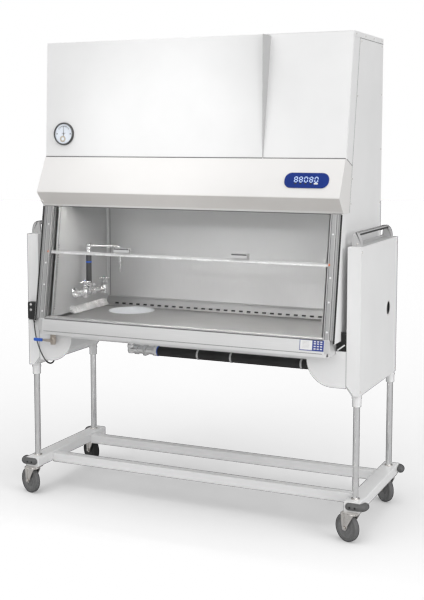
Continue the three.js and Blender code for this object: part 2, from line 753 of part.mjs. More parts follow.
function sinkBowl() {
  const { radius, depth } = SINK;
  const rim = WORK_HEIGHT + GAP;
  const floor = WORK_HEIGHT - depth;
  return turned([
    [20, floor - LINER], [radius - 22, floor - LINER], [radius, floor + 20],
    [radius, rim], [radius + 10, rim], [radius + 10, rim + LINER], [radius - LINER, rim + LINER],
    [radius - LINER, floor + 21], [radius - 23, floor], [20, floor], [20, floor - LINER],
  ], 28).translate(SINK.x, SINK.y, 0);
}

add('sink_bowl', sinkBowl(), STAINLESS);

const DRAIN = { z: 774, pipe: 26, left: -345, right: 560, drop: 19, trap: 22, nut: 29, coupling: 28 };

function drainLine() {
  const inlet = WORK_HEIGHT - SINK.depth - LINER - GAP;
  const { x, y } = SINK;
  return join(
    rodZ(x, y, DRAIN.z, inlet, DRAIN.drop),
    rodX(x - 24, DRAIN.left + 5, y, DRAIN.z, DRAIN.trap),
    rodX(DRAIN.left, DRAIN.right, y, DRAIN.z, DRAIN.pipe, 20),
    rodX(x + 50, x + 66, y, DRAIN.z, DRAIN.nut),
    rodX(DRAIN.left - 22, DRAIN.left - 4, y, DRAIN.z, DRAIN.coupling),
  );
}

add('drain_line', drainLine(), CHROME);

const PAN = { half: 814, front: -430, rear: 336, lipRear: -366, wall: 3, foil: 1011 };

// An open tray under the work surface; its front wall is the sill of the opening.
function drainPan() {
  const rim = TRACK_BOTTOM - GAP;
  const { half, rear, lipRear, wall: skin } = PAN;
  const side = (inset, top) => prismX([
    [frontY(PAN_BOTTOM) + inset, PAN_BOTTOM + inset],
    [rear - inset, PAN_BOTTOM + inset],
    [rear - inset, top],
    [frontY(top) + inset, top],
  ], -half - 10, half + 10);
  const plan = (inset) => prismZ([
    [-half + inset, PAN.front + inset],
    [half - inset, PAN.front + inset],
    [half - inset, rear - inset],
    [-half + inset, rear - inset],
  ], PAN_BOTTOM - 50, rim + 50);
  const roundedPlan = prismZ([
    [-half, frontY(PAN_BOTTOM), 30],
    [half, frontY(PAN_BOTTOM), 30],
    [half, rear, 12],
    [-half, rear, 12],
  ], PAN_BOTTOM - 50, rim + 50);
  const outside = common(side(0, rim), roundedPlan);
  const inside = common(side(skin, rim + 30), plan(skin + 4));
  const lip = block(-half + 2, half - 2, frontY(rim) + 2, lipRear, rim - skin, rim);
  const foil = prismX([
    [frontY(rim) + 4, rim - 1], [lipRear, rim - 1], [lipRear, PAN.foil], [frontY(rim) + 14, PAN.foil, 6],
  ], -TRACK_INNER + 2, TRACK_INNER - 2);
  const sinkHole = rodZ(SINK.x, SINK.y, PAN_BOTTOM - 9, PAN_BOTTOM + 9, SINK.radius + 6, 32);
  return carve(join(carve(outside, inside), lip, foil), sinkHole);
}

add('drain_pan', drainPan(), STAINLESS);

// ---------------------------------------------------------------- faucet

function faucetBody() {
  const { x, z, hot, cold, riser, swivel } = FAUCET;
  const wallFace = -CHAMBER_HALF + GAP;
  const parts = [rodY(x, cold - 20, hot + 20, z, 13)];
  for (const y of [cold, hot]) {
    parts.push(rodX(wallFace, x, y, z, 15));
    parts.push(rodX(wallFace, wallFace + 6, y, z, 25, 16));
    parts.push(rodZ(x, y, z, z + 40, 16));
    parts.push(rodZ(x, y, z + 38, z + 50, 10));
  }
  parts.push(rodZ(x, riser, z, swivel - GAP, 9));
  parts.push(rodZ(x, riser, z + 8, z + 30, 14));
  parts.push(rodY(x, cold - 110, cold - 18, z, 10));
  parts.push(rodY(x, cold - 140, cold - 108, z, 14));
  return join(...parts);
}

add('faucet_body', faucetBody(), CHROME);

// Modelled along its own swing axis: it starts on the riser and ends over the sink.
function faucetSpout() {
  const reach = [150, 88];
  const top = 22;
  const neck = bentTube([
    [0, 0, 4], [2, 1, top - 4], [14, 8, top], [reach[0] * 0.5, reach[1] * 0.5, top - 3],
    [reach[0] - 14, reach[1] - 8, top - 8], [reach[0] - 2, reach[1] - 1, top - 18],
    [reach[0], reach[1], top - 40], [reach[0], reach[1], top - 120],
  ], 7.5, 10, 26);
  const collar = rodZ(0, 0, 0, 14, 13);
  const tip = rodZ(reach[0], reach[1], top - 146, top - 112, 9);
  return join(neck, collar, tip);
}

const spout = add('faucet_spout', faucetSpout(), CHROME);
spout.position.set(FAUCET.x, FAUCET.riser, FAUCET.swivel);

function faucetHandle() {
  return join(
    rodZ(0, 0, 0, 18, 10),
    rodX(-30, 30, 0, 11, 4.5, 10),
    rodY(0, -30, 30, 11, 4.5, 10),
    rodZ(0, 0, 17, 21, 7),
  );
}

for (const [name, y] of [['hot', FAUCET.hot], ['cold', FAUCET.cold]]) {
  const cross = add(`faucet_handle_${name}`, faucetHandle(), CHROME);
  cross.position.set(FAUCET.x, y, FAUCET.z + 50 + GAP);
}

// ---------------------------------------------------------------- drain valve

const VALVE = { x: -762, y: -345, z: 878, pipe: 12, body: 17, stem: 22 };

add('drain_valve', join(
  rodZ(VALVE.x, VALVE.y, VALVE.z - VALVE.stem, PAN_BOTTOM - GAP, VALVE.pipe),
  rodZ(VALVE.x, VALVE.y, VALVE.z - 14, VALVE.z + 14, VALVE.body, 8),
  rodY(VALVE.x, VALVE.y - VALVE.stem, VALVE.y, VALVE.z, 8, 12),
), BRASS);
add('drain_valve_lever', join(
  prismY([
    [VALVE.x + 10, VALVE.z - 10, 4], [VALVE.x + 10, VALVE.z + 10, 4], [VALVE.x - 60, VALVE.z + 5],
    [VALVE.x - 60, VALVE.z - 5],
  ], VALVE.y - 26, VALVE.y - 22.3),
  prismY([
    [VALVE.x - 51, VALVE.z - 9, 4], [VALVE.x - 51, VALVE.z + 9, 4], [VALVE.x - 107, VALVE.z + 9, 6],
    [VALVE.x - 107, VALVE.z - 9, 6],
  ], VALVE.y - 30, VALVE.y - 20),
), BLUE_PLASTIC);

// ---------------------------------------------------------------- filters and blower

const SUPPLY_FILTER = { half: 735, front: -200, rear: 238, bottom: 1622, top: 1760 };
const EXHAUST_FILTER = { half: 292, front: -52, rear: 252, bottom: 2320, top: 2452 };

function filterBlock({ half, front, rear, bottom, top }) {
  return block(-half, half, front, rear, bottom, top);
}

add('supply_filter', filterBlock(SUPPLY_FILTER), FILTER_MEDIA);
add('exhaust_filter', filterBlock(EXHAUST_FILTER), FILTER_MEDIA);

const BLADES = 12;
const BLOWER = { x0: -150, x1: 150, y: 70, z: 2020, wheel: 100 };

// The scroll opens downwards, so that the blower feeds the plenum over the supply filter.
function scroll(offset) {
  const corners = [];
  for (let turn = 0; turn <= 300; turn += 20) {
    const angle = THREE.MathUtils.degToRad(turn);
    const radius = 118 + turn * 0.22 + offset;
    corners.push([BLOWER.y + radius * Math.cos(angle), BLOWER.z + radius * Math.sin(angle)]);
  }
  return corners;
}

function blowerHousing() {
  const { x0, x1, y, z } = BLOWER;
  const outside = join(
    prismX(scroll(3), x0, x1),
    block(x0, x1, y + 10, y + 121, z - 220, z),
  );
  const inside = join(
    prismX(scroll(0), x0 + 3, x1 - 3),
    block(x0 + 3, x1 - 3, y + 13, y + 118, z - 230, z),
  );
  const inlets = rodX(x0 - 5, x1 + 5, y, z, 84, 32);
  const motor = rodX(x0 - 110, x0 - 20, y, z, 55, 24);
  const arms = [0, 1, 2].map((i) => (
    block(x0 - 60, x0 + 1, -7, 7, 50, 98)
      .rotateX(THREE.MathUtils.degToRad(120 * i + 30))
      .translate(0, y, z)));
  return join(carve(outside, inside, inlets), motor, ...arms);
}

add('blower_housing', blowerHousing(), DARK_METAL);

function blowerImpeller() {
  const half = 120;
  const { wheel } = BLOWER;
  const parts = [rodX(-3, 3, 0, 0, wheel, 24), rodX(-half - 20, half, 0, 0, 12)];
  for (const end of [-half, half - 4]) {
    const ring = carve(rodX(end, end + 4, 0, 0, wheel, 24), rodX(end - 5, end + 9, 0, 0, wheel - 22, 24));
    parts.push(ring);
  }
  for (let i = 0; i < BLADES; i += 1) {
    parts.push(block(-half + 1, half - 1, -1.5, 1.5, wheel - 20, wheel - 4)
      .rotateX((2 * Math.PI * (i + 0.5)) / BLADES));
  }
  return join(...parts);
}

const impeller = add('blower_impeller', blowerImpeller(), DARK_METAL);
impeller.position.set((BLOWER.x0 + BLOWER.x1) / 2, BLOWER.y, BLOWER.z);

// The casters trail to the left, so the whole object is moved until the origin is at its middle.
const extent = new THREE.Box3().setFromObject(cabinet, true);
cabinet.position.x = -(extent.min.x + extent.max.x) / 2;

export default cabinet;
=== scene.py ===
"""A biological safety cabinet on a motorised stand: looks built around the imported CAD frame.

Shapes are written in millimetres about the cabinet's own middle plane, as in the CAD source,
and piece() turns them into metres in the frame.
"""

import math

import bmesh
import bpy
from mathutils import Matrix, Vector


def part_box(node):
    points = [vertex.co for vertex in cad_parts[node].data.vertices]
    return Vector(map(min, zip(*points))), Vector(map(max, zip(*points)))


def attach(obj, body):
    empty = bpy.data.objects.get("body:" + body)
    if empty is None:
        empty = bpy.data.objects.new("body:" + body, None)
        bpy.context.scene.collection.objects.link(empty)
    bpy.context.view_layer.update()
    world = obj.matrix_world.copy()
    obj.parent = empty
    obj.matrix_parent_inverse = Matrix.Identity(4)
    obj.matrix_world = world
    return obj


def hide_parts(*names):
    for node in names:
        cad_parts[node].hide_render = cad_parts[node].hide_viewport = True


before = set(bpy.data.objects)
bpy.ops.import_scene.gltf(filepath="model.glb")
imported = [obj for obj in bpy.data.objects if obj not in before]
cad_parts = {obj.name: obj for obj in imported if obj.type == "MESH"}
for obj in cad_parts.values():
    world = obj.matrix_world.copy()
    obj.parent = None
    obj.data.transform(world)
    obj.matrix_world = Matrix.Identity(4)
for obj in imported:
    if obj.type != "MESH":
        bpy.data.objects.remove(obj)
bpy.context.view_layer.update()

MM = 0.001
CONSOLE_LOW, CONSOLE_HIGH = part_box("control_console")
MIDDLE = Vector(((CONSOLE_LOW.x + CONSOLE_HIGH.x) / 2, 0.0, 0.0))  # the cabinet's middle plane


def span(node):
    """A CAD node's lowest and highest corners, in millimetres about the cabinet's middle."""
    low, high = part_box(node)
    return (low - MIDDLE) / MM, (high - MIDDLE) / MM


# ---------------------------------------------------------------- camera

CAMERA_PLACE = (MIDDLE.x + 2.412, -5.276, 1.948)
CAMERA_PITCH = math.radians(84.0)
CAMERA_TURN = math.radians(24.379)
CAMERA_LENS = 65.55
CAMERA_SHIFT = -0.0754


def add_camera():
    lens = bpy.data.cameras.new("camera")
    lens.lens = CAMERA_LENS
    lens.shift_y = CAMERA_SHIFT
    camera = bpy.data.objects.new("camera", lens)
    camera.location = CAMERA_PLACE
    camera.rotation_euler = (CAMERA_PITCH, 0.0, CAMERA_TURN)
    bpy.context.scene.collection.objects.link(camera)
    bpy.context.scene.camera = camera


add_camera()

# ---------------------------------------------------------------- solids in millimetres

FOLD_ANGLE = math.radians(35)  # edges sharper than this stay crisp and get a bevel
ARC_PULL = 0.5523  # how far a cubic's handles reach towards a corner to draw a quarter circle


def block(x0, x1, y0, y1, z0, z1):
    corners = [(x, y, z) for z in (z0, z1) for y in (y0, y1) for x in (x0, x1)]
    faces = [(0, 2, 3, 1), (4, 5, 7, 6), (0, 1, 5, 4), (2, 6, 7, 3), (0, 4, 6, 2), (1, 3, 7, 5)]
    return corners, faces


def rounded(corners, steps):
    """An outline's points; a corner (u, v, r) becomes an arc that starts r before it."""
    points = []
    for i, corner in enumerate(corners):
        here = Vector(corner[:2])
        radius = corner[2] if len(corner) > 2 else 0
        if radius == 0:
            points.append(tuple(here))
            continue
        before = Vector(corners[i - 1][:2])
        after = Vector(corners[(i + 1) % len(corners)][:2])
        start = here + (before - here).normalized() * radius
        end = here + (after - here).normalized() * radius
        pull_in = start + (here - start) * ARC_PULL
        pull_out = end + (here - end) * ARC_PULL
        for step in range(steps + 1):
            t = step / steps
            s = 1 - t
            at = start * s**3 + pull_in * 3 * s * s * t + pull_out * 3 * s * t * t + end * t**3
            points.append(tuple(at))
    return points


PLACE_ON = {
    "X": lambda u, v, w: (w, u, v),
    "Y": lambda u, v, w: (u, w, v),
    "Z": lambda u, v, w: (u, v, w),
}


def prism(corners, axis, low, high, steps=6):
    """An outline in the plane across an axis, extruded along it from low to high."""
    ring = rounded(corners, steps)
    count = len(ring)
    points = [PLACE_ON[axis](u, v, w) for w in (low, high) for u, v in ring]
    faces = [tuple(range(count)), tuple(range(count, 2 * count))]
    faces += [(i, (i + 1) % count, count + (i + 1) % count, count + i) for i in range(count)]
    return points, faces


def lathe(profile, sides=48):
    """A turned solid around +Z; the profile starts and ends on the axis, or closes on itself."""
    points = []
    for radius, z in profile:
        for side in range(sides):
            angle = 2 * math.pi * side / sides
            points.append((radius * math.cos(angle), radius * math.sin(angle), z))
    faces = []
    for ring in range(len(profile) - 1):
        for side in range(sides):
            a = ring * sides + side
            b = ring * sides + (side + 1) % sides
            faces.append((a, b, b + sides, a + sides))
    return points, faces


def moved(part, place=(0, 0, 0), turn=None):
    """A part turned about the origin and then carried to a place."""
    points, faces = part
    turn = turn or Matrix.Identity(3)
    return [tuple(turn @ Vector(p) + Vector(place)) for p in points], faces


def mirrored(part):
    points, faces = part
    return [(-x, y, z) for x, y, z in points], faces


def towards(direction):
    """The turn that carries +Z to a direction."""
    return Vector(direction).to_track_quat("Z", "Y").to_matrix()


def rod(start, end, radius, sides=32, chamfer=0.6):
    reach = (Vector(end) - Vector(start)).length
    profile = [(0, 0), (radius - chamfer, 0), (radius, chamfer), (radius, reach - chamfer)]
    profile += [(radius - chamfer, reach), (0, reach)]
    return moved(lathe(profile, sides), start, towards(Vector(end) - Vector(start)))


def smooth_path(points, steps):
    """A Catmull-Rom curve through the points."""
    knots = [Vector(p) for p in points]
    knots = [knots[0] * 2 - knots[1], *knots, knots[-1] * 2 - knots[-2]]
    path = []
    for i in range(1, len(knots) - 2):
        a, b, c, d = knots[i - 1 : i + 3]
        for step in range(steps):
            t = step / steps
            path.append(
                (b * 2 + (c - a) * t + (a * 2 - b * 5 + c * 4 - d) * t**2
                 + (b * 3 - a - c * 3 + d) * t**3) / 2
            )
    return [*path, knots[-2]]


def tube(points, radius, sides=20, steps=6):
    """A round bar that follows a smooth curve; radius is one number or one for each path point."""
    path = smooth_path(points, steps)
    count = len(path)
    radii = radius if isinstance(radius, list) else [radius] * count
    across = Vector((path[1] - path[0])).orthogonal().normalized()
    verts, faces = [], []
    for i, at in enumerate(path):
        along = (path[min(i + 1, count - 1)] - path[max(i - 1, 0)]).normalized()
        across = (across - along * across.dot(along)).normalized()
        other = along.cross(across)
        for side in range(sides):
            angle = 2 * math.pi * side / sides
            verts.append(tuple(at + (across * math.cos(angle) + other * math.sin(angle)) * radii[i]))
    for i in range(count - 1):
        for side in range(sides):
            a, b = i * sides + side, i * sides + (side + 1) % sides
            faces.append((a, b, b + sides, a + sides))
    faces += [tuple(range(sides)), tuple(range((count - 1) * sides, count * sides))]
    return verts, faces


def piece(name, parts, material, body, bevel=0.5, replaces=(), slot=None):
    """Joins solids into one object in the frame, with soft edges, that rides on a body."""
    mesh = bpy.data.meshes.new(name)
    builder = bmesh.new()
    for points, faces in parts:
        corners = [builder.verts.new(Vector(p) * MM + MIDDLE) for p in points]
        for face in faces:
            builder.faces.new([corners[i] for i in face])
    bmesh.ops.remove_doubles(builder, verts=builder.verts, dist=1e-6)
    bmesh.ops.recalc_face_normals(builder, faces=builder.faces)
    builder.to_mesh(mesh)
    builder.free()
    mesh.materials.append(material)
    made = bpy.data.objects.new(name, mesh)
    bpy.context.scene.collection.objects.link(made)
    soften(made, bevel)
    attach(made, body)
    if replaces:
        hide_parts(*replaces)
    return made


def soften(made, bevel):
    """Smooth shading that stays crisp at folds, and a small rounding along them."""
    made.data.shade_smooth()
    made.data.set_sharp_from_angle(angle=FOLD_ANGLE)
    if bevel > 0:
        edge = made.modifiers.new("edge", "BEVEL")
        edge.width = bevel * MM
        edge.segments = 2
        edge.limit_method = "ANGLE"
        edge.angle_limit = FOLD_ANGLE
        edge.harden_normals = True


def refine(node, material, bevel=0.6):
    """A CAD node keeps its shape; it gets its material, and its edges a small rounding."""
    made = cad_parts[node]
    made.data.materials.clear()
    made.data.materials.append(material)
    if "custom_normal" in made.data.attributes:
        made.data.attributes.remove(made.data.attributes["custom_normal"])
    made.data.shade_smooth()
    weld = made.modifiers.new("weld", "WELD")
    weld.merge_threshold = 0.02 * MM
    flat = made.modifiers.new("flat", "DECIMATE")
    flat.decimate_type = "DISSOLVE"
    flat.angle_limit = math.radians(1)
    edge = made.modifiers.new("edge", "BEVEL")
    edge.width = bevel * MM
    edge.segments = 2
    edge.limit_method = "ANGLE"
    edge.angle_limit = FOLD_ANGLE
    edge.harden_normals = True
    return made


# ---------------------------------------------------------------- materials

NOISE_ROUGHNESS = 0.55


def noise(tree, frequency, detail=3.0):
    """Noise in the object's own space; frequency is in waves per metre along x, y and z."""
    place = tree.nodes.new("ShaderNodeTexCoord")
    stretch = tree.nodes.new("ShaderNodeMapping")
    stretch.inputs["Scale"].default_value = frequency
    tree.links.new(place.outputs["Object"], stretch.inputs["Vector"])
    cloud = tree.nodes.new("ShaderNodeTexNoise")
    cloud.inputs["Scale"].default_value = 1.0
    cloud.inputs["Detail"].default_value = detail
    cloud.inputs["Roughness"].default_value = NOISE_ROUGHNESS
    tree.links.new(stretch.outputs["Vector"], cloud.inputs["Vector"])
    return cloud.outputs["Fac"]


def spread(tree, value, low, high):
    """Maps the middle of the noise's range to low..high."""
    ranged = tree.nodes.new("ShaderNodeMapRange")
    ranged.inputs["From Min"].default_value = 0.3
    ranged.inputs["From Max"].default_value = 0.7
    ranged.inputs["To Min"].default_value = low
    ranged.inputs["To Max"].default_value = high
    tree.links.new(value, ranged.inputs["Value"])
    return ranged.outputs["Result"]


def blended(tree, factor, first, second):
    mix = tree.nodes.new("ShaderNodeMix")
    mix.data_type = "RGBA"
    for socket, colour in ((mix.inputs[6], first), (mix.inputs[7], second)):
        if isinstance(colour, tuple):
            socket.default_value = (*colour, 1.0)
        else:
            tree.links.new(colour, socket)
    tree.links.new(factor, mix.inputs[0])
    return mix.outputs[2]


def surface(name, tones, gloss, metallic=0.0, patch=2.5, grain=(400, 400, 400), depth=0.02,
            streak=0.0, **constants):
    """A finish of two tones in soft patches, with uneven gloss and a fine grain in the bump.

    tones are linear colours, gloss is the range of roughness, grain is in waves per metre,
    depth is the grain's height in millimetres and streak is how far the grain darkens the tone.
    """
    made = bpy.data.materials.new(name)
    made.use_nodes = True
    tree = made.node_tree
    shader = tree.nodes["Principled BSDF"]
    shader.inputs["Metallic"].default_value = metallic
    for socket, value in constants.items():
        shader.inputs[socket.replace("_", " ")].default_value = value
    patches = noise(tree, (patch, patch, patch))
    fine = noise(tree, grain)
    colour = blended(tree, spread(tree, patches, 0, 1), *tones)
    if streak > 0:
        darker = tuple(c * (1 - streak) for c in tones[1])
        colour = blended(tree, spread(tree, fine, 0.5, 0), colour, darker)
    tree.links.new(colour, shader.inputs["Base Color"])
    worn = tree.nodes.new("ShaderNodeMath")
    worn.operation = "MULTIPLY_ADD"
    worn.inputs[1].default_value = 0.5
    tree.links.new(spread(tree, patches, gloss[0], gloss[1]), worn.inputs[0])
    halved = tree.nodes.new("ShaderNodeMath")
    halved.operation = "MULTIPLY"
    halved.inputs[1].default_value = 0.5
    tree.links.new(spread(tree, fine, gloss[0], gloss[1]), halved.inputs[0])
    tree.links.new(halved.outputs[0], worn.inputs[2])
    tree.links.new(worn.outputs[0], shader.inputs["Roughness"])
    bump = tree.nodes.new("ShaderNodeBump")
    bump.inputs["Distance"].default_value = depth * MM
    tree.links.new(fine, bump.inputs["Height"])
    tree.links.new(bump.outputs["Normal"], shader.inputs["Normal"])
    return made


def grey(value, warm=0.0):
    return (value * (1 + warm), value, value * (1 - warm))


BRUSH_FINE = 900
BRUSH_LONG = 6

WHITE = surface("white_powder_coat", (grey(0.88), grey(0.83)), (0.36, 0.46), grain=(330, 330, 330),
                depth=0.05)
WARM_WHITE = surface("warm_white_coat", (grey(0.82, 0.014), grey(0.78, 0.017)), (0.34, 0.44),
                     grain=(330, 330, 330), depth=0.04)
STAINLESS = surface("brushed_stainless", (grey(0.66), grey(0.58)), (0.36, 0.46), 0.7,
                    grain=(BRUSH_LONG, BRUSH_FINE, BRUSH_FINE), depth=0.012, streak=0.10)
TRACK_STEEL = surface("brushed_track_steel", (grey(0.48), grey(0.41)), (0.34, 0.46), 0.5,
                      grain=(BRUSH_FINE, BRUSH_FINE, BRUSH_LONG), depth=0.012, streak=0.15)
LINER = surface("polished_liner", (grey(0.54), grey(0.49)), (0.36, 0.46), 0.3, patch=4,
                grain=(BRUSH_FINE, BRUSH_FINE, 10), depth=0.004, streak=0.05)
REAR_LINER = surface("brushed_rear_liner", (grey(0.60), grey(0.54)), (0.30, 0.42), 0.7, patch=3,
                     grain=(BRUSH_FINE, BRUSH_FINE, 10), depth=0.008, streak=0.07)
CHROME = surface("chrome", (grey(0.78), grey(0.72)), (0.04, 0.10), 1.0, patch=20,
                 grain=(300, 300, 300), depth=0.002)
ZINC = surface("nickel_plate", (grey(0.80, 0.03), grey(0.66, 0.04)), (0.14, 0.28), 1.0, patch=30,
               grain=(500, 500, 500), depth=0.02, streak=0.1)
TREAD = surface("grey_tyre", (grey(0.15), grey(0.12)), (0.5, 0.7), patch=25, grain=(600, 600, 600),
                depth=0.05)
HUB = surface("grey_hub", (grey(0.20), grey(0.165)), (0.38, 0.55), patch=25, grain=(450, 450, 450),
              depth=0.03)
GREY_PLASTIC = surface("grey_plastic", (grey(0.54), grey(0.49)), (0.38, 0.5), patch=12,
                       grain=(600, 600, 600), depth=0.03)
BUMPER_GREY = surface("bumper_grey", (grey(0.119), grey(0.098)), (0.42, 0.58), patch=15,
                      grain=(500, 500, 500), depth=0.04)
BLACK = surface("black_plastic", (grey(0.018), grey(0.012)), (0.34, 0.5), patch=15,
                grain=(700, 700, 700), depth=0.03)
RUBBER = surface("black_rubber", (grey(0.014), grey(0.010)), (0.55, 0.75), patch=15,
                 grain=(500, 500, 500), depth=0.04)
# dark seal for the seams between panels; also painted shade in the track grooves and the shadow line along
# the sill
SEAL_AND_SHADE_LINE = surface("dark_seal_and_shade_line", (grey(0.09), grey(0.07)), (0.5, 0.7), patch=15, grain=(500, 500, 500))
# painted shade: near-black stand-in for the shade inside holes, slots, wells, notches and gaps; it also
# colours the pendant's dark seam line
HOLE_SHADE_AND_SEAM = surface("painted_hole_shade_and_seam", (grey(0.012), grey(0.008)), (0.6, 0.8), grain=(500, 500, 500))
BLUE = surface("display_blue", ((0.010, 0.036, 0.235), (0.008, 0.030, 0.20)), (0.4, 0.5), patch=10,
               grain=(500, 500, 500), depth=0.006, IOR=1.25)
BLUE_SLEEVE = surface("blue_sleeve", ((0.02, 0.12, 0.60), (0.015, 0.09, 0.48)), (0.3, 0.42), patch=30,
                      grain=(600, 600, 600), depth=0.03)
DIGIT_LIT = surface("lit_digit", ((0.62, 0.76, 1.0), (0.55, 0.70, 1.0)), (0.3, 0.4), patch=60,
                Emission_Color=(0.55, 0.7, 1.0, 1), Emission_Strength=0.35)
PALE = surface("pale_plastic", (grey(0.78, 0.01), grey(0.72, 0.015)), (0.3, 0.42), patch=30,
               grain=(600, 600, 600), depth=0.02)
DARK_METAL = surface("dark_metal", (grey(0.10), grey(0.075)), (0.3, 0.42), 0.7, patch=20,
                     grain=(500, 500, 500), depth=0.02)
DIAL = surface("dial_face", ((0.74, 0.77, 0.82), (0.70, 0.73, 0.78)), (0.4, 0.5), patch=20)
INK = surface("dial_ink", (grey(0.13), grey(0.10)), (0.5, 0.6), patch=40)
BRASS = surface("dull_brass", ((0.62, 0.56, 0.50), (0.48, 0.43, 0.38)), (0.25, 0.42), 1.0, patch=40,
                grain=(500, 500, 500), depth=0.03, streak=0.15)
MEDIA = surface("filter_media", (grey(0.78, 0.02), grey(0.70, 0.03)), (0.8, 0.95), patch=8,
                grain=(900, 900, 900), depth=0.1)
FAN_STEEL = surface("galvanised_steel", (grey(0.42), grey(0.30)), (0.3, 0.5), 0.9, patch=45,
                    grain=(120, 120, 120), depth=0.01, streak=0.2)
BLACK_HOSE = surface("black_foam_wrap", (grey(0.022), grey(0.014)), (0.6, 0.8), patch=12,
                     grain=(260, 260, 260), depth=0.2)
PORCELAIN = surface("satin_sink", (grey(0.88, -0.02), grey(0.80, -0.02)), (0.34, 0.44), 0.1, patch=10,
                    grain=(300, 300, 300), depth=0.01)
ORANGE = surface("orange_marker", ((0.75, 0.16, 0.02), (0.65, 0.13, 0.02)), (0.4, 0.5), patch=60)
GREEN = surface("green_index", ((0.0, 0.42, 0.24), (0.0, 0.36, 0.2)), (0.3, 0.4), patch=60)
LABEL_WHITE = surface("label_white", (grey(0.86), grey(0.82)), (0.3, 0.4), patch=20, grain=(600, 600, 600))
LABEL_BLUE = surface("label_blue", ((0.02, 0.05, 0.30), (0.018, 0.045, 0.26)), (0.3, 0.4), patch=20)

# painted shade: a taupe copy of the console's white, laid on the console's lower return where shade falls
UNDERSIDE_SHADE = surface("painted_shade_return", (grey(0.70, 0.03), grey(0.65, 0.035)), (0.4, 0.5),
                grain=(330, 330, 330), depth=0.04)
BRIGHT_EDGE = surface("bright_edge_steel", (grey(0.86), grey(0.80)), (0.2, 0.34), 0.55, patch=6,
                      grain=(BRUSH_LONG, BRUSH_FINE, BRUSH_FINE), depth=0.006)

# painted shade: a mid-grey for the white door's right return, standing for the shade on it
DOOR_FLANK_SHADE = surface("door_return_painted_shade", (grey(0.50), grey(0.46)), (0.4, 0.5), grain=(330, 330, 330),
                     depth=0.04)
PAN_STEEL = surface("brushed_pan_steel", (grey(0.84), grey(0.76)), (0.36, 0.46), 0.6,
                    grain=(BRUSH_LONG, BRUSH_FINE, BRUSH_FINE), depth=0.012, streak=0.10)
WORK_STEEL = surface("brushed_work_surface", (grey(0.47), grey(0.41)), (0.36, 0.46), 0.7,
                     grain=(BRUSH_LONG, BRUSH_FINE, BRUSH_FINE), depth=0.012, streak=0.10)
BEIGE = surface("beige_plate", ((0.50, 0.43, 0.34), (0.45, 0.39, 0.31)), (0.4, 0.5), patch=40)
# a darker copy of the brushed steel: painted shade on the rear wall's sloped foot, and the darker tone of the
# work surface's front rim
DARK_STEEL_AND_SHADE = surface("darker_steel_and_painted_shade", (grey(0.40), grey(0.34)), (0.34, 0.46), 0.6, patch=3,
                      grain=(BRUSH_LONG, BRUSH_FINE, BRUSH_FINE), depth=0.008, streak=0.08)
PALE_GREY = surface("label_rule_grey", (grey(0.62), grey(0.56)), (0.4, 0.5), patch=40)
LAMP = surface("lamp_glass", (grey(0.9), grey(0.88)), (0.2, 0.3), patch=10, Emission_Strength=28.0,
               Emission_Color=(1.0, 0.98, 0.95, 1))


def glass_material(name, tint, gloss):
    made = surface(name, (tint, tint), gloss, patch=5, grain=(60, 60, 60), depth=0.0005,
                   Transmission_Weight=1.0, IOR=1.12)
    return made


GLASS = glass_material("sash_safety_glass", (0.985, 0.99, 0.99), (0.0, 0.03))
LENS = glass_material("gauge_lens", (0.98, 0.99, 1.0), (0.0, 0.03))


HOLES_PER_METRE = 130.0
HOLE_REACH = 0.24  # a hole's radius as a share of the spacing


def perforated_material():
    """White sheet with rows of small round holes, drawn by a grid of near-black dots: painted shade."""
    made = surface("perforated_sheet", (grey(0.80), grey(0.76)), (0.4, 0.5), grain=(300, 300, 300))
    tree = made.node_tree
    shader = tree.nodes["Principled BSDF"]
    plain = shader.inputs["Base Color"].links[0].from_socket
    place = tree.nodes.new("ShaderNodeTexCoord")
    cell = tree.nodes.new("ShaderNodeVectorMath")
    cell.operation = "FRACTION"
    scale = tree.nodes.new("ShaderNodeVectorMath")
    scale.operation = "SCALE"
    scale.inputs["Scale"].default_value = HOLES_PER_METRE
    tree.links.new(place.outputs["Object"], scale.inputs[0])
    tree.links.new(scale.outputs["Vector"], cell.inputs[0])
    flat = tree.nodes.new("ShaderNodeVectorMath")
    flat.operation = "MULTIPLY"
    flat.inputs[1].default_value = (1, 1, 0)
    tree.links.new(cell.outputs["Vector"], flat.inputs[0])
    reach = tree.nodes.new("ShaderNodeVectorMath")
    reach.operation = "DISTANCE"
    reach.inputs[1].default_value = (0.5, 0.5, 0)
    tree.links.new(flat.outputs["Vector"], reach.inputs[0])
    hole = tree.nodes.new("ShaderNodeMath")
    hole.operation = "LESS_THAN"
    hole.inputs[1].default_value = HOLE_REACH
    tree.links.new(reach.outputs["Value"], hole.inputs[0])
    tree.links.new(blended(tree, hole.outputs[0], plain, grey(0.03)), shader.inputs["Base Color"])
    return made


PERFORATED = perforated_material()

# ---------------------------------------------------------------- leaning front of the cabinet

LEAN = math.tan(math.radians(9.5))
FRONT_AT_TOP = -153.0  # the front plane at the top of the cabinet
TOP_LEVEL = 2470.0
SIDES = (("left", -1), ("right", 1))
ENDS = ("front", "rear")


def front_y(z):
    return FRONT_AT_TOP - LEAN * (TOP_LEVEL - z)


def leaning(x0, x1, near, far, z0, z1):
    """A strip that follows the leaning front, between two depths behind it."""
    return prism([
        (front_y(z0) + near, z0), (front_y(z0) + far, z0),
        (front_y(z1) + far, z1), (front_y(z1) + near, z1),
    ], "X", x0, x1)


def on_panel(x, lower, upper, z):
    """Place and turn of a panel's frame: local +Z points out of the panel, local +Y up along it."""
    (y0, z0), (y1, z1) = lower, upper
    place = (x, y0 + (y1 - y0) * (z - z0) / (z1 - z0), z)
    return place, Matrix.Rotation(math.atan2(z1 - z0, y1 - y0), 3, "X")


# ---------------------------------------------------------------- pendant cord

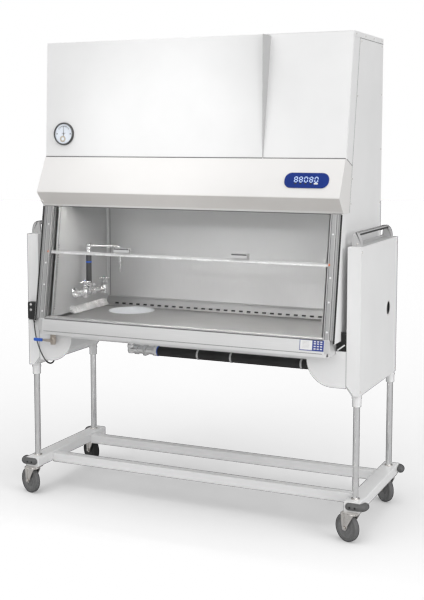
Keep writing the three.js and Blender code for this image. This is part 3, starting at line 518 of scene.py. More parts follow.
PENDANT_LOW, PENDANT_HIGH = span("pendant_body")
CORD_TOUCH = 0.3  # air between the cord's ends and what they meet
CORD_ROUTE = [
    (-890, -329, PENDANT_LOW.z - CORD_TOUCH),
    (-890.5, -329, 962),
    (-889, -329.5, 940),
    (-884, -330.5, 905),
    (-876, -332, 872),
    (-864, -333, 838),
    (-850, -333, 806),
    (-836, -331.5, 780),
    (-823, -327, 758),
    (-812, -319, 745),
    (-803, -309, 740),
    (-796, -298, 744),
    (-792, -290, 757),
    (-790, -286, 775),
    (-790, -285, 800 - CORD_TOUCH),
]
CORD_RADIUS = 3.0


def in_frame(point):
    return Vector(point) * MM + MIDDLE


def pendant_cord():
    route = [in_frame(p) for p in CORD_ROUTE]
    curve = bpy.data.curves.new("pendant_cord_flex", "CURVE")
    curve.dimensions = "3D"
    curve.bevel_depth = CORD_RADIUS * MM
    curve.bevel_resolution = 4
    curve.resolution_u = 6
    curve.use_fill_caps = True
    line = curve.splines.new("BEZIER")
    line.bezier_points.add(len(route) - 1)
    for i, (knot, at) in enumerate(zip(line.bezier_points, route)):
        before = route[max(i - 1, 0)]
        after = route[min(i + 1, len(route) - 1)]
        slope = (after - before).normalized()
        knot.co = at
        knot.handle_left = at - slope * (at - before).length / 3
        knot.handle_right = at + slope * (after - at).length / 3
    cord = bpy.data.objects.new("pendant_cord_flex", curve)
    cord.data.materials.append(RUBBER)
    bpy.context.scene.collection.objects.link(cord)
    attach(cord, "cabinet")
    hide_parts("pendant_cord")


pendant_cord()

# ---------------------------------------------------------------- small hardware

HEAD_HEIGHT = 2.2


def screw_head(point, normal, radius=4.5):
    """A low button head with a hexagonal-looking socket."""
    high = HEAD_HEIGHT * radius / 4.5
    profile = [
        (0, high * 0.35), (radius * 0.42, high * 0.35), (radius * 0.46, high),
        (radius * 0.8, high * 0.85), (radius, high * 0.35), (radius, 0), (0, 0),
    ]
    return moved(lathe(profile, 18), point, towards(normal))


def screws(name, heads, body, material=None, radius=4.5):
    parts = [screw_head(point, normal, radius) for point, normal in heads]
    return piece(name, parts, material or ZINC, body, bevel=0)


def hex_nut(point, normal, across, high):
    ring = [(across / math.sqrt(3) * math.cos(math.pi * i / 3),
             across / math.sqrt(3) * math.sin(math.pi * i / 3)) for i in range(6)]
    return moved(prism(ring, "Z", 0, high), point, towards(normal))


# ---------------------------------------------------------------- stand: feet, legs and casters

LEG_X = 914.0
LEG_YS = {"front": -277.0, "rear": 330.0}
LEG_RADIUS = 15.0
RAIL = {"half": 41.0, "front": -336.0, "rear": 396.0, "bottom": 158.0, "top": 208.0}
BUMPER = {"front": -356.0, "rear": 411.6, "outer": 990.6, "bottom": 168.0, "top": 205.0, "reach": 34.0}
CASTER_YS = {"front": -317.0, "rear": 333.0}
CASTER_TURNS = {("front", "left"): -22.0, ("rear", "left"): -28.0, ("front", "right"): -28.0,
                ("rear", "right"): -42.0}
WHEEL_RADIUS = 70.0
TRAIL = 36.0
AXLE_Z = WHEEL_RADIUS


def foot_rail(side, sign):
    half, bottom, top = RAIL["half"], RAIL["bottom"], RAIL["top"]
    rail = prism([
        (sign * LEG_X - half, bottom, 5), (sign * LEG_X + half, bottom, 5),
        (sign * LEG_X + half, top, 5), (sign * LEG_X - half, top, 5),
    ], "Y", RAIL["front"], RAIL["rear"])
    piece(f"foot_rail_{side}", [rail], WHITE, "base", bevel=1.5, replaces=[f"foot_{side}"],
          slot="painted_white")


def ball(place, radius, sides=40):
    ring = [(radius * math.sin(math.pi * i / 16), -radius * math.cos(math.pi * i / 16)) for i in range(17)]
    return moved(lathe(ring, sides), place)


def corner_bumper(side, sign, end):
    """A thick moulded bar with round ends that wraps an outer corner of the foot."""
    inward = 1 if end == "front" else -1
    level = (BUMPER["bottom"] + BUMPER["top"]) / 2
    radius = (BUMPER["top"] - BUMPER["bottom"]) / 2
    face = BUMPER[end]
    y = face + inward * radius
    x = BUMPER["outer"] - radius
    path = [(LEG_X - 14, y), (x - 34, y), (x - 12, y + inward * 5), (x - 2, y + inward * 18),
            (x, y + inward * BUMPER["reach"])]
    path = [(sign * u, v, level) for u, v in path]
    bar = tube(path, radius, sides=40, steps=6)
    piece(f"corner_bumper_{end}_{side}", [bar, ball(path[0], radius), ball(path[-1], radius)], BUMPER_GREY,
          "base", bevel=0)
    # painted shade: near-black plugs in the two bolt wells stand for the shade inside them
    well_shades = [moved(lathe([(0, -6), (5.2, -6), (5.2, 0.3), (0, 0.3)], 24), (sign * u, face, level),
                   towards((0, -inward, 0))) for u in (LEG_X - 6, LEG_X + 20)]
    piece(f"bumper_bolt_wells_{end}_{side}", well_shades, HOLE_SHADE_AND_SEAM, "base", bevel=0)


def caster_plate(side, sign, end):
    """The steel plate that bolts a caster to the foot, and its four bolts."""
    x, y = sign * LEG_X, CASTER_YS[end]
    bottom = RAIL["bottom"] - 4
    plate = prism([
        (x - 38, y - 34, 8), (x + 38, y - 34, 8), (x + 38, y + 34, 8), (x - 38, y + 34, 8),
    ], "Z", bottom, RAIL["bottom"] + 0.5)
    nuts = [hex_nut((x + dx, y + dy, bottom), (0, 0, -1), 9, 4) for dx in (-29, 29) for dy in (-26, 26)]
    piece(f"caster_plate_{end}_{side}", [plate, *nuts], ZINC, "base", bevel=0.6)


def leg(side, sign, end):
    x, y = sign * LEG_X, LEG_YS[end]
    low, high = span(f"leg_{end}_{side}")
    column = rod((x, y, low.z), (x, y, high.z), LEG_RADIUS, sides=48, chamfer=1.5)
    piece(f"lift_column_{end}_{side}", [column], CHROME, "base", bevel=0,
          replaces=[f"leg_{end}_{side}"], slot="chrome_tube")
    seat = lathe([(LEG_RADIUS + 0.4, 0), (22, 0), (22, 4), (18, 7), (LEG_RADIUS + 0.4, 7),
                  (LEG_RADIUS + 0.4, 0)])
    piece(f"column_seat_{end}_{side}", [moved(seat, (x, y, RAIL["top"]))], ZINC, "base", bevel=0.4)


def caster_turn(side, end):
    return Matrix.Rotation(math.radians(CASTER_TURNS[end, side]), 3, "Z")


def caster_fork(side, sign, end):
    """Pressed fork with two ribbed, tapering cheeks, swivel race, kingpin and axle bolt."""
    top = RAIL["bottom"] - 4.3
    cheek_corners = [(-61, 143), (-55, 84, 8), (-47, 57, 9), (-25, 57, 9), (-15, 84, 14), (24, 143)]
    rib_corners = [(-58, 141), (-52, 84, 4), (-45, 62, 4), (-36, 62, 6), (-37, 141)]
    cheeks = [prism(cheek_corners, "Y", y0, y1) for y0, y1 in ((-22.5, -19.3), (19.3, 22.5))]
    ribs = [prism(rib_corners, "Y", y0, y1) for y0, y1 in ((-24.4, -22.0), (22.0, 24.4))]
    crown = prism([(-61, -22.5, 12), (28, -22.5, 20), (28, 22.5, 20), (-61, 22.5, 12)], "Z", 141.5, 145)
    dome = lathe([
        (0, 144), (31, 144), (32, 146), (31, 148.5), (29.5, 149), (29.5, 150.6), (31, 151),
        (31, top - 0.8), (30, top), (0, top),
    ])
    kingpin = hex_nut((0, 0, 136.5), (0, 0, 1), 15, 6)
    axle = rod((-TRAIL, -27, AXLE_Z), (-TRAIL, 27, AXLE_Z), 5, sides=20)
    nuts = [
        hex_nut((-TRAIL, -24.4, AXLE_Z), (0, -1, 0), 15, 5),
        hex_nut((-TRAIL, 24.4, AXLE_Z), (0, 1, 0), 15, 6),
        moved(lathe([(0, 0), (9.5, 0), (9.5, 1.4), (0, 1.4)], 28), (-TRAIL, -24.4, AXLE_Z),
              towards((0, -1, 0))),
    ]
    swivel = (sign * LEG_X, CASTER_YS[end], 0)
    parts = [moved(part, swivel, caster_turn(side, end))
             for part in (*cheeks, *ribs, crown, dome, kingpin, axle, *nuts)]
    piece(f"swivel_fork_{end}_{side}", parts, ZINC, f"caster_{end}_{side}", bevel=0.7,
          replaces=[f"caster_fork_{end}_{side}"], slot="zinc_fork")


def caster_wheel(side, sign, end):
    """A moulded wheel: tyre with a crowned tread, and a hub with raised rings on both faces."""
    tyre = [
        (53, -13), (56, -14.2), (64, -14.6), (68, -12.5), (69.6, -9), (WHEEL_RADIUS, -4), (WHEEL_RADIUS, 4),
        (69.6, 9), (68, 12.5), (64, 14.6), (56, 14.2), (53, 13), (53, -13),
    ]
    face = [(6.2, 17.5), (12, 17.5), (14, 15), (17, 11), (27, 10), (29, 12), (31, 12), (33, 9), (42, 9),
            (44, 11),
            (46, 11), (48, 9.4), (52.6, 12.6)]
    hub = [*[(r, -z) for r, z in face], *reversed(face), face[0][:1] + (-face[0][1],)]
    turn = caster_turn(side, end)
    place = Vector((sign * LEG_X, CASTER_YS[end], AXLE_Z)) + turn @ Vector((-TRAIL, 0, 0))
    lying = turn @ Matrix.Rotation(math.pi / 2, 3, "X")
    # painted shade: the rear left wheel, under the cabinet, gets a black tyre and hub in place of the grey
    # ones
    shaded_rear_left = side == "left" and end == "rear"
    body = f"wheel_{end}_{side}"
    piece(f"wheel_tyre_{end}_{side}", [moved(lathe(tyre, 72), place, lying)], RUBBER if shaded_rear_left else TREAD,
          body, bevel=0, replaces=[f"caster_wheel_{end}_{side}"], slot="caster_tread")
    piece(f"wheel_hub_{end}_{side}", [moved(lathe(hub, 72), place, lying)], BLACK if shaded_rear_left else HUB,
          body, bevel=0)


for side, sign in SIDES:
    foot_rail(side, sign)
    for end in ENDS:
        corner_bumper(side, sign, end)
        caster_plate(side, sign, end)
        leg(side, sign, end)
        caster_fork(side, sign, end)
        caster_wheel(side, sign, end)

# ---------------------------------------------------------------- stand: lifting frame

HOUSING = {"inner": 870.0, "outer": 937.0, "front": -313.0, "rear": 350.0, "bottom": 724.0, "top": 1442.0}


def housing_trim(side, sign):
    """Screws, the rim of the cable port, the slide collars and the folded seam of a housing."""
    outer = sign * HOUSING["outer"]
    out = (sign, 0, 0)
    heads = [((outer, y, z), out) for y in (HOUSING["front"] + 15, HOUSING["rear"] - 15)
             for z in (HOUSING["bottom"] + 20, HOUSING["top"] - 24)]
    screws(f"housing_screws_{side}", heads, "cabinet", radius=4.8)
    port = [(33.5, -2), (34.6, 0.6), (36.5, 1.8), (40.5, 1.4), (42, 0), (38, -0.5), (35, -2), (33.5, -2)]
    piece(f"port_rim_{side}", [moved(lathe(port), (outer, 185, 1086), towards(out))], PALE, "cabinet",
          bevel=0)
    # painted shade: a near-black cup inside the cable port stands for the shade in the hole
    port_dark_cup = [(0, -9), (33.3, -9), (33.3, -1.5), (32, -1.5), (32, -8), (0, -8)]
    piece(f"port_shade_cup_{side}", [moved(lathe(port_dark_cup), (outer, 185, 1086), towards(out))], HOLE_SHADE_AND_SEAM,
          "cabinet", bevel=0)
    for end, y in LEG_YS.items():
        ring = [(21.2, 0), (23.5, 1), (23.5, 9), (21.2, 10), (21.2, 0)]
        piece(f"collar_ring_{end}_{side}", [moved(lathe(ring), (sign * LEG_X, y, 706))], WHITE, "cabinet",
              bevel=0.3)
        grub = [((sign * LEG_X + dx * 15, y - 14.8, 688), (dx * 0.7, -1, 0)) for dx in (-0.6, 0.6)]
        screws(f"collar_screws_{end}_{side}", grub, "cabinet", DARK_METAL, 2.6)
    fold = prism([
        (sign * (HOUSING["inner"] + 1), HOUSING["bottom"] + 43),
        (sign * (HOUSING["inner"] + 33), HOUSING["bottom"] + 2),
        (sign * (HOUSING["inner"] + 35), HOUSING["bottom"] + 2),
        (sign * (HOUSING["inner"] + 1), HOUSING["bottom"] + 46),
    ], "Y", HOUSING["front"] - 0.3, HOUSING["front"] + 0.1)
    piece(f"housing_fold_{side}", [fold], SEAL_AND_SHADE_LINE, "cabinet", bevel=0)


def push_handle(side, sign):
    """Two shaped end plates, a folded base and a grip bar with two dark inserts."""
    top = HOUSING["top"] + 0.3
    outline = [(878, top, 2), (930, top, 2), (930, top + 30, 14), (914, top + 66, 18), (884, top + 66, 16)]
    plates = [prism(outline, "Y", y0, y1, steps=8) for y0, y1 in ((-272, -264), (260, 268))]
    grip = prism([
        (885, top + 50, 5), (909, top + 50, 5), (913, top + 62, 5), (908, top + 65.5, 2),
        (886, top + 65.5, 5),
    ], "Y", -266, 262)
    base = prism([(878, top, 0.5), (930, top, 0.5), (930, top + 3), (882, top + 3), (882, top + 14),
                  (878, top + 14)],
                 "Y", -266, 262)
    shell = [mirrored(p) if sign < 0 else p for p in (*plates, grip, base)]
    piece(f"push_handle_shell_{side}", shell, GREY_PLASTIC, "cabinet", bevel=1.2,
          replaces=[f"push_handle_{side}"], slot="grey_plastic")
    inserts = [prism([(x - 3.4, top + 64.8), (x + 3.4, top + 64.8), (x + 3.4, top + 65.9),
                      (x - 3.4, top + 65.9)],
                     "Y", -258, 254) for x in (890, 904)]
    inserts.append(prism([(910.6, top + 51.6), (913.6, top + 60.5), (912.6, top + 61), (909.4, top + 51.8)],
                         "Y", -258, 254))
    piece(f"handle_inserts_{side}", [mirrored(p) if sign < 0 else p for p in inserts], RUBBER, "cabinet",
          bevel=0.4)
    heads = [((sign * 904, y, top + 12), (0, way, 0)) for y, way in ((-272, -1), (268, 1))]
    screws(f"handle_screws_{side}", heads, "cabinet", radius=4)


for side, sign in SIDES:
    housing_trim(side, sign)
    push_handle(side, sign)


def apron_trim():
    """The junction box's lid and gland, the seams where the apron meets the housings, and screws."""
    lid = prism([(-836, 803, 5), (-744, 803, 5), (-744, 867, 5), (-836, 867, 5)], "Y", -243, -240.5)
    piece("lift_control_lid", [lid], GREY_PLASTIC, "cabinet", bevel=0.8)
    gland = lathe([(3.4, 0), (7, 0), (7, 4), (6, 5), (5.2, 13), (3.4, 14), (3.4, 0)], 24)
    piece("lift_control_gland", [moved(gland, (-790, -285, 799.9), Matrix.Rotation(math.pi, 3, "X"))],
          BLACK, "cabinet", bevel=0.3)
    edges = []
    for _, sign in SIDES:
        x0, x1 = sorted((sign * 868.2, sign * 869.6))
        edges.append(block(x0, x1, -313.5, -310.2, 757, 936))
    piece("apron_seams", edges, SEAL_AND_SHADE_LINE, "cabinet", bevel=0)
    heads = [((sign * 852, -313, z), (0, -1, 0)) for _, sign in SIDES for z in (782, 905)]
    screws("apron_screws", heads, "cabinet", WHITE, 4)


def under_recess():
    """A dark sheet of painted shade and the white stay behind each lower end of the front posts."""
    for side, sign in SIDES:
        x0, x1 = sorted((sign * 817, sign * 869.4))
        piece(f"recess_shade_{side}", [block(x0, x1, -309.6, -306, 937.2, 1032)], HOLE_SHADE_AND_SEAM, "cabinet",
              bevel=0.6)
        stay = prism([(824, 945), (829, 941), (864, 968), (860, 973)], "Y", -322, -314)
        piece(f"post_stay_{side}", [mirrored(stay) if sign < 0 else stay], WHITE, "cabinet", bevel=1.2)


apron_trim()
under_recess()

# ---------------------------------------------------------------- hand control of the lift

BUTTON_X = -900.0
BUTTON_LEVELS = {"up": 1062.0, "down": 1033.0}


def pendant():
    low, high = PENDANT_LOW, PENDANT_HIGH
    outline = [(low.x, low.z, 12), (high.x, low.z, 12), (high.x, high.z, 7), (low.x, high.z, 7)]
    shell = prism(outline, "Y", low.y, high.y, steps=8)
    made = piece("pendant_shell", [shell], BLACK, "cabinet", bevel=4.0, replaces=["pendant_body"],
                 slot="black_plastic")
    made.modifiers["edge"].segments = 5
    seam = prism([(x * 1.0, z, 8) for x, z in (
        (low.x - 0.2, low.z - 0.2), (high.x + 0.2, low.z - 0.2), (high.x + 0.2, high.z + 0.2),
        (low.x - 0.2, high.z + 0.2))],
        "Y", low.y + 17, low.y + 18.2, steps=8)
    piece("pendant_seam", [seam], HOLE_SHADE_AND_SEAM, "cabinet", bevel=0)
    for way, z in BUTTON_LEVELS.items():
        ring = lathe([(7.2, -0.5), (9.4, -0.5), (9.4, 0.8), (8.6, 1.3), (7.2, 1.0), (7.2, -0.5)], 36)
        piece(f"pendant_{way}_bezel", [moved(ring, (BUTTON_X, low.y, z), towards((0, -1, 0)))], DARK_METAL,
              "cabinet", bevel=0)
        cap = lathe([(0, 4), (3, 3.8), (5.4, 3.1), (6.4, 2.0), (6.4, -1), (0, -1)], 36)
        piece(f"pendant_{way}_cap", [moved(cap, (BUTTON_X, low.y, z), towards((0, -1, 0)))], PALE,
              f"{way}_button", bevel=0, replaces=[f"pendant_{way}_button"], slot="pale_key")
        turn = 1 if way == "up" else -1
        arrow = prism([(-2.6, -1.6 * turn), (2.6, -1.6 * turn), (0, 2.4 * turn)], "Z", 3.6, 4.15)
        piece(f"pendant_{way}_arrow", [moved(arrow, (BUTTON_X, low.y, z), towards((0, -1, 0)))], INK,
              f"{way}_button", bevel=0)
    relief = lathe([(3.3, 0), (6.5, 0), (6.2, -6), (4.2, -18), (3.3, -18), (3.3, 0)], 28)
    piece("pendant_strain_relief", [moved(relief, (-890, -329, low.z))], RUBBER, "cabinet", bevel=0.4)
    heads = [((high.x - 9, low.y, z), (0, -1, 0)) for z in (low.z + 14, high.z - 12)]
    screws("pendant_screws", heads, "cabinet", DARK_METAL, 2.4)


pendant()

# ---------------------------------------------------------------- outer panels: seams and screws

HALF_WIDTH = (CONSOLE_HIGH.x - CONSOLE_LOW.x) / 2 / MM
CABINET_TOP = span("rear_top_cover")[1].z
CABINET_REAR = span("rear_top_cover")[1].y
CONSOLE_TOP = span("control_console")[1].z
CONSOLE_BOTTOM = span("control_console")[0].z
PANEL_BOTTOM = span("side_panel_left")[0].z
SEAM_BACK = 100.0
SEAM_ELBOW = 1823.0
TOP_RETURN = 28.0
DOOR_EDGE = 412.0  # right edge of the filter access panel
DOOR_FRONT = -263.4
DOOR_TOP = 2461.0
SEAM_WIDTH = 3.2
SEAM_PROUD = 0.35


def side_seam(sign, line, width=SEAM_WIDTH):
    """A thin gasket line on a side panel, along a list of (y, z) points."""
    parts = []
    x0, x1 = sorted((sign * (HALF_WIDTH - 0.2), sign * (HALF_WIDTH + SEAM_PROUD)))
    for (y0, z0), (y1, z1) in zip(line, line[1:]):
        along = Vector((y1 - y0, z1 - z0)).normalized()
        side = Vector((-along.y, along.x)) * width / 2
        parts.append(prism([
            (y0 + side.x, z0 + side.y), (y1 + side.x, z1 + side.y),
            (y1 - side.x, z1 - side.y), (y0 - side.x, z0 - side.y),
        ], "X", x0, x1))
    return parts


def panel_seams():
    fold = CABINET_TOP - TOP_RETURN
    seam_top = (front_y(fold) + SEAM_BACK, fold)
    elbow = (front_y(SEAM_ELBOW) + SEAM_BACK, SEAM_ELBOW)
    for side, sign in SIDES:
        parts = side_seam(sign, [seam_top, elbow])
        parts += side_seam(sign, [elbow, (front_y(CONSOLE_BOTTOM) + SEAM_BACK, CONSOLE_BOTTOM)], 2.4)
        parts += side_seam(sign, [(front_y(CONSOLE_TOP) + 2, CONSOLE_TOP), elbow])
        parts += side_seam(sign, [(front_y(fold) + SEAM_BACK, fold), (CABINET_REAR - 4, fold)], 2.4)
        parts += side_seam(sign, [(front_y(PANEL_BOTTOM) + 3, PANEL_BOTTOM + 1.2),
                                  (CABINET_REAR - 4, PANEL_BOTTOM + 1.2)], 2.0)
        piece(f"side_seams_{side}", parts, SEAL_AND_SHADE_LINE, "cabinet", bevel=0)
    door_seal = block(-HALF_WIDTH + 1, DOOR_EDGE, -266.4, -264.2, CONSOLE_TOP + 0.2, CONSOLE_TOP + 4.4)
    panel_seal = block(DOOR_EDGE + 2, HALF_WIDTH - 4, front_y(CONSOLE_TOP) - 1.8, front_y(CONSOLE_TOP) - 0.1,
                       CONSOLE_TOP + 0.2, CONSOLE_TOP + 4.0)
    piece("front_panel_seals", [door_seal, panel_seal], SEAL_AND_SHADE_LINE, "cabinet", bevel=0.4)
    foot = CONSOLE_TOP + 5
    # painted shade: a mid-grey sheet over the door's right return, where the white door is in shade
    flank = prism([(DOOR_FRONT, DOOR_TOP), (front_y(DOOR_TOP) + 1, DOOR_TOP), (front_y(foot) + 1, foot),
                   (DOOR_FRONT, foot)], "X", DOOR_EDGE - 0.3, DOOR_EDGE + 0.5)
    piece("door_flank_shade", [flank], DOOR_FLANK_SHADE, "cabinet", bevel=0)


def panel_screws():
    for side, sign in SIDES:
        out = (sign, 0, 0)
        x = sign * HALF_WIDTH
        fold = CABINET_TOP - TOP_RETURN / 2
        heads = [((x, y, fold), out) for y in (-120, 30, 180, 325)]
        heads += [((x, y, CABINET_TOP - TOP_RETURN - 14), out) for y in (-36, 330)]
        heads += [((x, front_y(2160) + SEAM_BACK + 11, 2160), out)]
        heads += [((x, front_y(z) + SEAM_BACK + 12, z), out) for z in (1760, 1640)]
        heads += [((x, y, z), out) for y in (335,) for z in (1620, 1900, 2180)]
        screws(f"side_panel_screws_{side}", heads, "cabinet", radius=4.2)
    rear = [((x, CABINET_REAR, z), (0, 1, 0)) for x in (-815, -408, 0, 408, 815) for z in (1010, 1400, 1830,
                                                                                           2440)]
    screws("rear_cover_screws", rear, "cabinet", radius=4.5)
    top = [((x, y, CABINET_TOP - HEAD_HEIGHT), (0, 0, 1)) for x in (-815, -360, 360, 815) for y in (-130,
                                                                                                    110, 335)]
    screws("top_cover_screws", top, "cabinet", radius=4.5)


def rear_details():
    """Pressed lines and a louvred vent on the back, and the rating-plate-free service cover."""
    stiffeners = [
        prism([(x - 9, CABINET_REAR), (x - 6, CABINET_REAR + 3.5, 2), (x + 6, CABINET_REAR + 3.5, 2),
               (x + 9, CABINET_REAR)],
              "Z", 1060, 2400) for x in (-420, 420)
    ]
    piece("rear_stiffeners", stiffeners, WHITE, "cabinet", bevel=1.0)
    cover = prism([(-190, 1930, 10), (190, 1930, 10), (190, 2200, 10), (-190, 2200, 10)], "Y",
                  CABINET_REAR - 0.1, CABINET_REAR + 2.2)
    piece("rear_service_cover", [cover], WHITE, "cabinet", bevel=0.8)
    louvres = [
        prism([(CABINET_REAR + 2.2, z), (CABINET_REAR + 9, z + 2, 1.5), (CABINET_REAR + 9.5, z + 4, 1.5),
               (CABINET_REAR + 2.2, z + 15)], "X", -140, 140) for z in range(1960, 2170, 26)
    ]
    piece("rear_louvres", louvres, WHITE, "cabinet", bevel=0.8)
    # painted shade: dark strips behind the louvres stand for the shade in their openings
    slots = [block(-138, 138, CABINET_REAR + 2.0, CABINET_REAR + 2.7, z - 4, z) for z in range(1960, 2170,
                                                                                               26)]
    piece("rear_louvre_slot_shade", slots, HOLE_SHADE_AND_SEAM, "cabinet", bevel=0)
    heads = [((x, CABINET_REAR + 2.2, z), (0, 1, 0)) for x in (-176, 176) for z in (1944, 2186)]
    screws("service_cover_screws", heads, "cabinet", radius=4)


panel_seams()
panel_screws()
rear_details()

# ---------------------------------------------------------------- console: underside, display and keys

CONSOLE_FACE = ((-362.0, 1674.0), (-271.0, CONSOLE_TOP))
UNDERSIDE = ((-361.2, 1672.6), (-293.4, 1598.4))


def console_underside():
    """The console's lower return in a taupe that is painted shade, and its dark lower edge."""
    (y0, z0), (y1, z1) = UNDERSIDE
    proud = 0.5
    normal = Vector((z1 - z0, y0 - y1)).normalized() * proud
    plate = prism([
        (y0 + normal.x, z0 + normal.y), (y1 + normal.x, z1 + normal.y), (y1, z1), (y0, z0),
    ], "X", -HALF_WIDTH + 2, HALF_WIDTH - 2)
    piece("console_return_shade", [plate], UNDERSIDE_SHADE, "cabinet", bevel=0)
    seal = block(-HALF_WIDTH + 12, HALF_WIDTH - 12, -293, -289, CONSOLE_BOTTOM - 3.6, CONSOLE_BOTTOM - 0.1)
    piece("console_lip_seal", [seal], SEAL_AND_SHADE_LINE, "cabinet", bevel=0.6)


DISPLAY = {"x": 664.5, "z": 1754.0, "half": 112.5, "tall": 40.0, "thick": 5.3}
DIGIT_OFFSETS = (-53.0, -28.0, -2.0, 24.0, 50.0)
KEY_OFFSETS = DIGIT_OFFSETS[:4]
KEY_LEVEL = -17.0
DIGIT = {"half": 7.4, "tall": 26.0, "bar": 3.4, "low": -9.5}
SEGMENTS = {8: "abcdefg", 0: "abcdef", 3: "abcdg", 6: "acdefg", 9: "abcdfg"}


def segment(letter, x):
    """One bar of a seven-segment digit, in the display's own frame."""
    half, tall, bar, low = DIGIT["half"], DIGIT["tall"], DIGIT["bar"], DIGIT["low"]
    middle, top = low + tall / 2, low + tall
    levels = {"a": top, "g": middle, "d": low}
    z0, z1 = DISPLAY["thick"] + 0.1, DISPLAY["thick"] + 0.5
    if letter in levels:
        y = levels[letter]
        reach = half - 1.6
        return prism([(x - reach, y), (x - reach + 1.5, y + bar / 2), (x + reach - 1.5, y + bar / 2),
                      (x + reach, y), (x + reach - 1.5, y - bar / 2), (x - reach + 1.5, y - bar / 2)], "Z",
                      z0, z1)
    side = half if letter in "bc" else -half
    y0, y1 = (middle + 1.4, top - 1.4) if letter in "bf" else (low + 1.4, middle - 1.4)
    at = x + side
    return prism([(at, y0), (at + bar / 2, y0 + 1.5), (at + bar / 2, y1 - 1.5), (at, y1),
                  (at - bar / 2, y1 - 1.5), (at - bar / 2, y0 + 1.5)], "Z", z0, z1)


def display():
    place, turn = on_panel(DISPLAY["x"], *CONSOLE_FACE, DISPLAY["z"])
    half, tall, thick = DISPLAY["half"], DISPLAY["tall"], DISPLAY["thick"]
    pill = prism([(-half, -tall, 36), (half, -tall, 36), (half, tall, 36), (-half, tall, 36)],
                 "Z", 0.3, thick, steps=14)
    made = piece("display_fascia", [moved(pill, place, turn)], BLUE, "cabinet", bevel=1.6,
                 replaces=["display_panel"], slot="display_blue")
    made.modifiers["edge"].segments = 4
    rim = [(-half - 1.6, -tall - 1.6, 37), (half + 1.6, -tall - 1.6, 37), (half + 1.6, tall + 1.6, 37),
           (-half - 1.6, tall + 1.6, 37)]
    piece("display_rim", [moved(prism(rim, "Z", 0.1, 1.6, steps=14), place, turn)], PALE, "cabinet",
          bevel=0.5)
    digits = [moved(segment(letter, x), place, turn)
              for x, value in zip(DIGIT_OFFSETS, (8, 8, 0, 8, 0)) for letter in SEGMENTS[value]]
    piece("display_digits", digits, DIGIT_LIT, "cabinet", bevel=0)
    bar = prism([(40, -21, 2), (60, -21, 2), (60, -13.5, 2), (40, -13.5, 2)], "Z", thick - 0.1, thick + 1.0)
    piece("display_status_bar", [moved(bar, place, turn)], PALE, "cabinet", bevel=0.3)
    for i, x in enumerate(KEY_OFFSETS, 1):
        cap = prism([(x - 5.2, KEY_LEVEL - 4.4, 2), (x + 5.2, KEY_LEVEL - 4.4, 2),
                     (x + 5.2, KEY_LEVEL + 3.6, 2),
                     (x - 5.2, KEY_LEVEL + 3.6, 2)], "Z", thick - 1.5, thick + 1.2)
        piece(f"key_cap_{i}", [moved(cap, place, turn)], BLACK, f"key_{i}", bevel=0.4,
              replaces=[f"display_key_{i}"], slot="dark_key")


console_underside()
display()

# ---------------------------------------------------------------- pressure gauge

DOOR_FACE = ((-264.0, 1858.2), (-234.0, 2462.0))
GAUGE_X = -727.0
GAUGE_Z = 1980.0


def gauge():
    place, turn = on_panel(GAUGE_X, *DOOR_FACE, GAUGE_Z)

    def dial_piece(name, parts, material, body="cabinet", **more):
        return piece(name, [moved(part, place, turn) for part in parts], material, body, **more)

    bezel = lathe([
        (52.5, 0.3), (60.2, 0.3), (60.5, 3), (60.5, 8), (59.2, 12), (57.5, 14.4), (55.5, 15), (53.5, 14),
        (52.5, 11.5),
        (52.5, 0.3),
    ], 96)
    dial_piece("gauge_bezel", [bezel], DARK_METAL, bevel=0, replaces=["pressure_gauge"], slot="gauge_case")
    dial_piece("gauge_face", [lathe([(0, 6), (52.4, 6), (52.4, 6.9), (3.5, 7.1), (0, 7.1)], 72)], DIAL,
               bevel=0)
    ticks = []
    for i in range(31):
        angle = math.radians(-50 + i * 100 / 30)
        long = 8.0 if i % 5 == 0 else 4.5
        mark = block(-0.45 if i % 5 else -0.8, 0.45 if i % 5 else 0.8, 43 - long, 43, 7.15, 7.35)
        ticks.append(moved(mark, turn=Matrix.Rotation(-angle, 3, "Z")))
    ticks.append(block(-12, 12, 2.6, 4.2, 7.15, 7.3))
    for x in (-41, 41):
        ticks.append(moved(lathe([(0, 7), (3.4, 7), (3.4, 8.4), (2.2, 9), (0, 9)], 20), (x, 0, 0)))
    dial_piece("gauge_marks", ticks, INK, bevel=0)
    boss = lathe([(9, 7.1), (17, 7.1), (17, 7.9), (15.5, 8.4), (10.5, 8.4), (9, 7.9), (9, 7.1)], 48)
    dial_piece("gauge_lower_plate", [moved(boss, (-5, -27, 0))], BEIGE, bevel=0)
    pointer = prism([(-1.5, -13, 1), (1.5, -13, 1), (0.45, 42), (-0.45, 42)], "Z", 8.3, 9.2)
    hub = lathe([(0, 8.0), (4.4, 8.0), (4.4, 10), (3.4, 11), (0, 11)], 32)
    dial_piece("gauge_pointer", [pointer, hub], INK, "needle", bevel=0, replaces=["gauge_needle"],
               slot="black_plastic")
    lens = dial_piece("gauge_window", [lathe([(0, 12.2), (52.4, 12.2), (52.4, 12.9), (40, 13.9), (0, 14.4)],
                                             72)],
                      LENS, bevel=0)
    lens.visible_shadow = False


gauge()

# ---------------------------------------------------------------- sash, tracks and posts

TRACK_BOTTOM = span("sash_track_right")[0].z
GLASS_BOTTOM = 1351.0
SASH_FOOT = GLASS_BOTTOM - 7.0


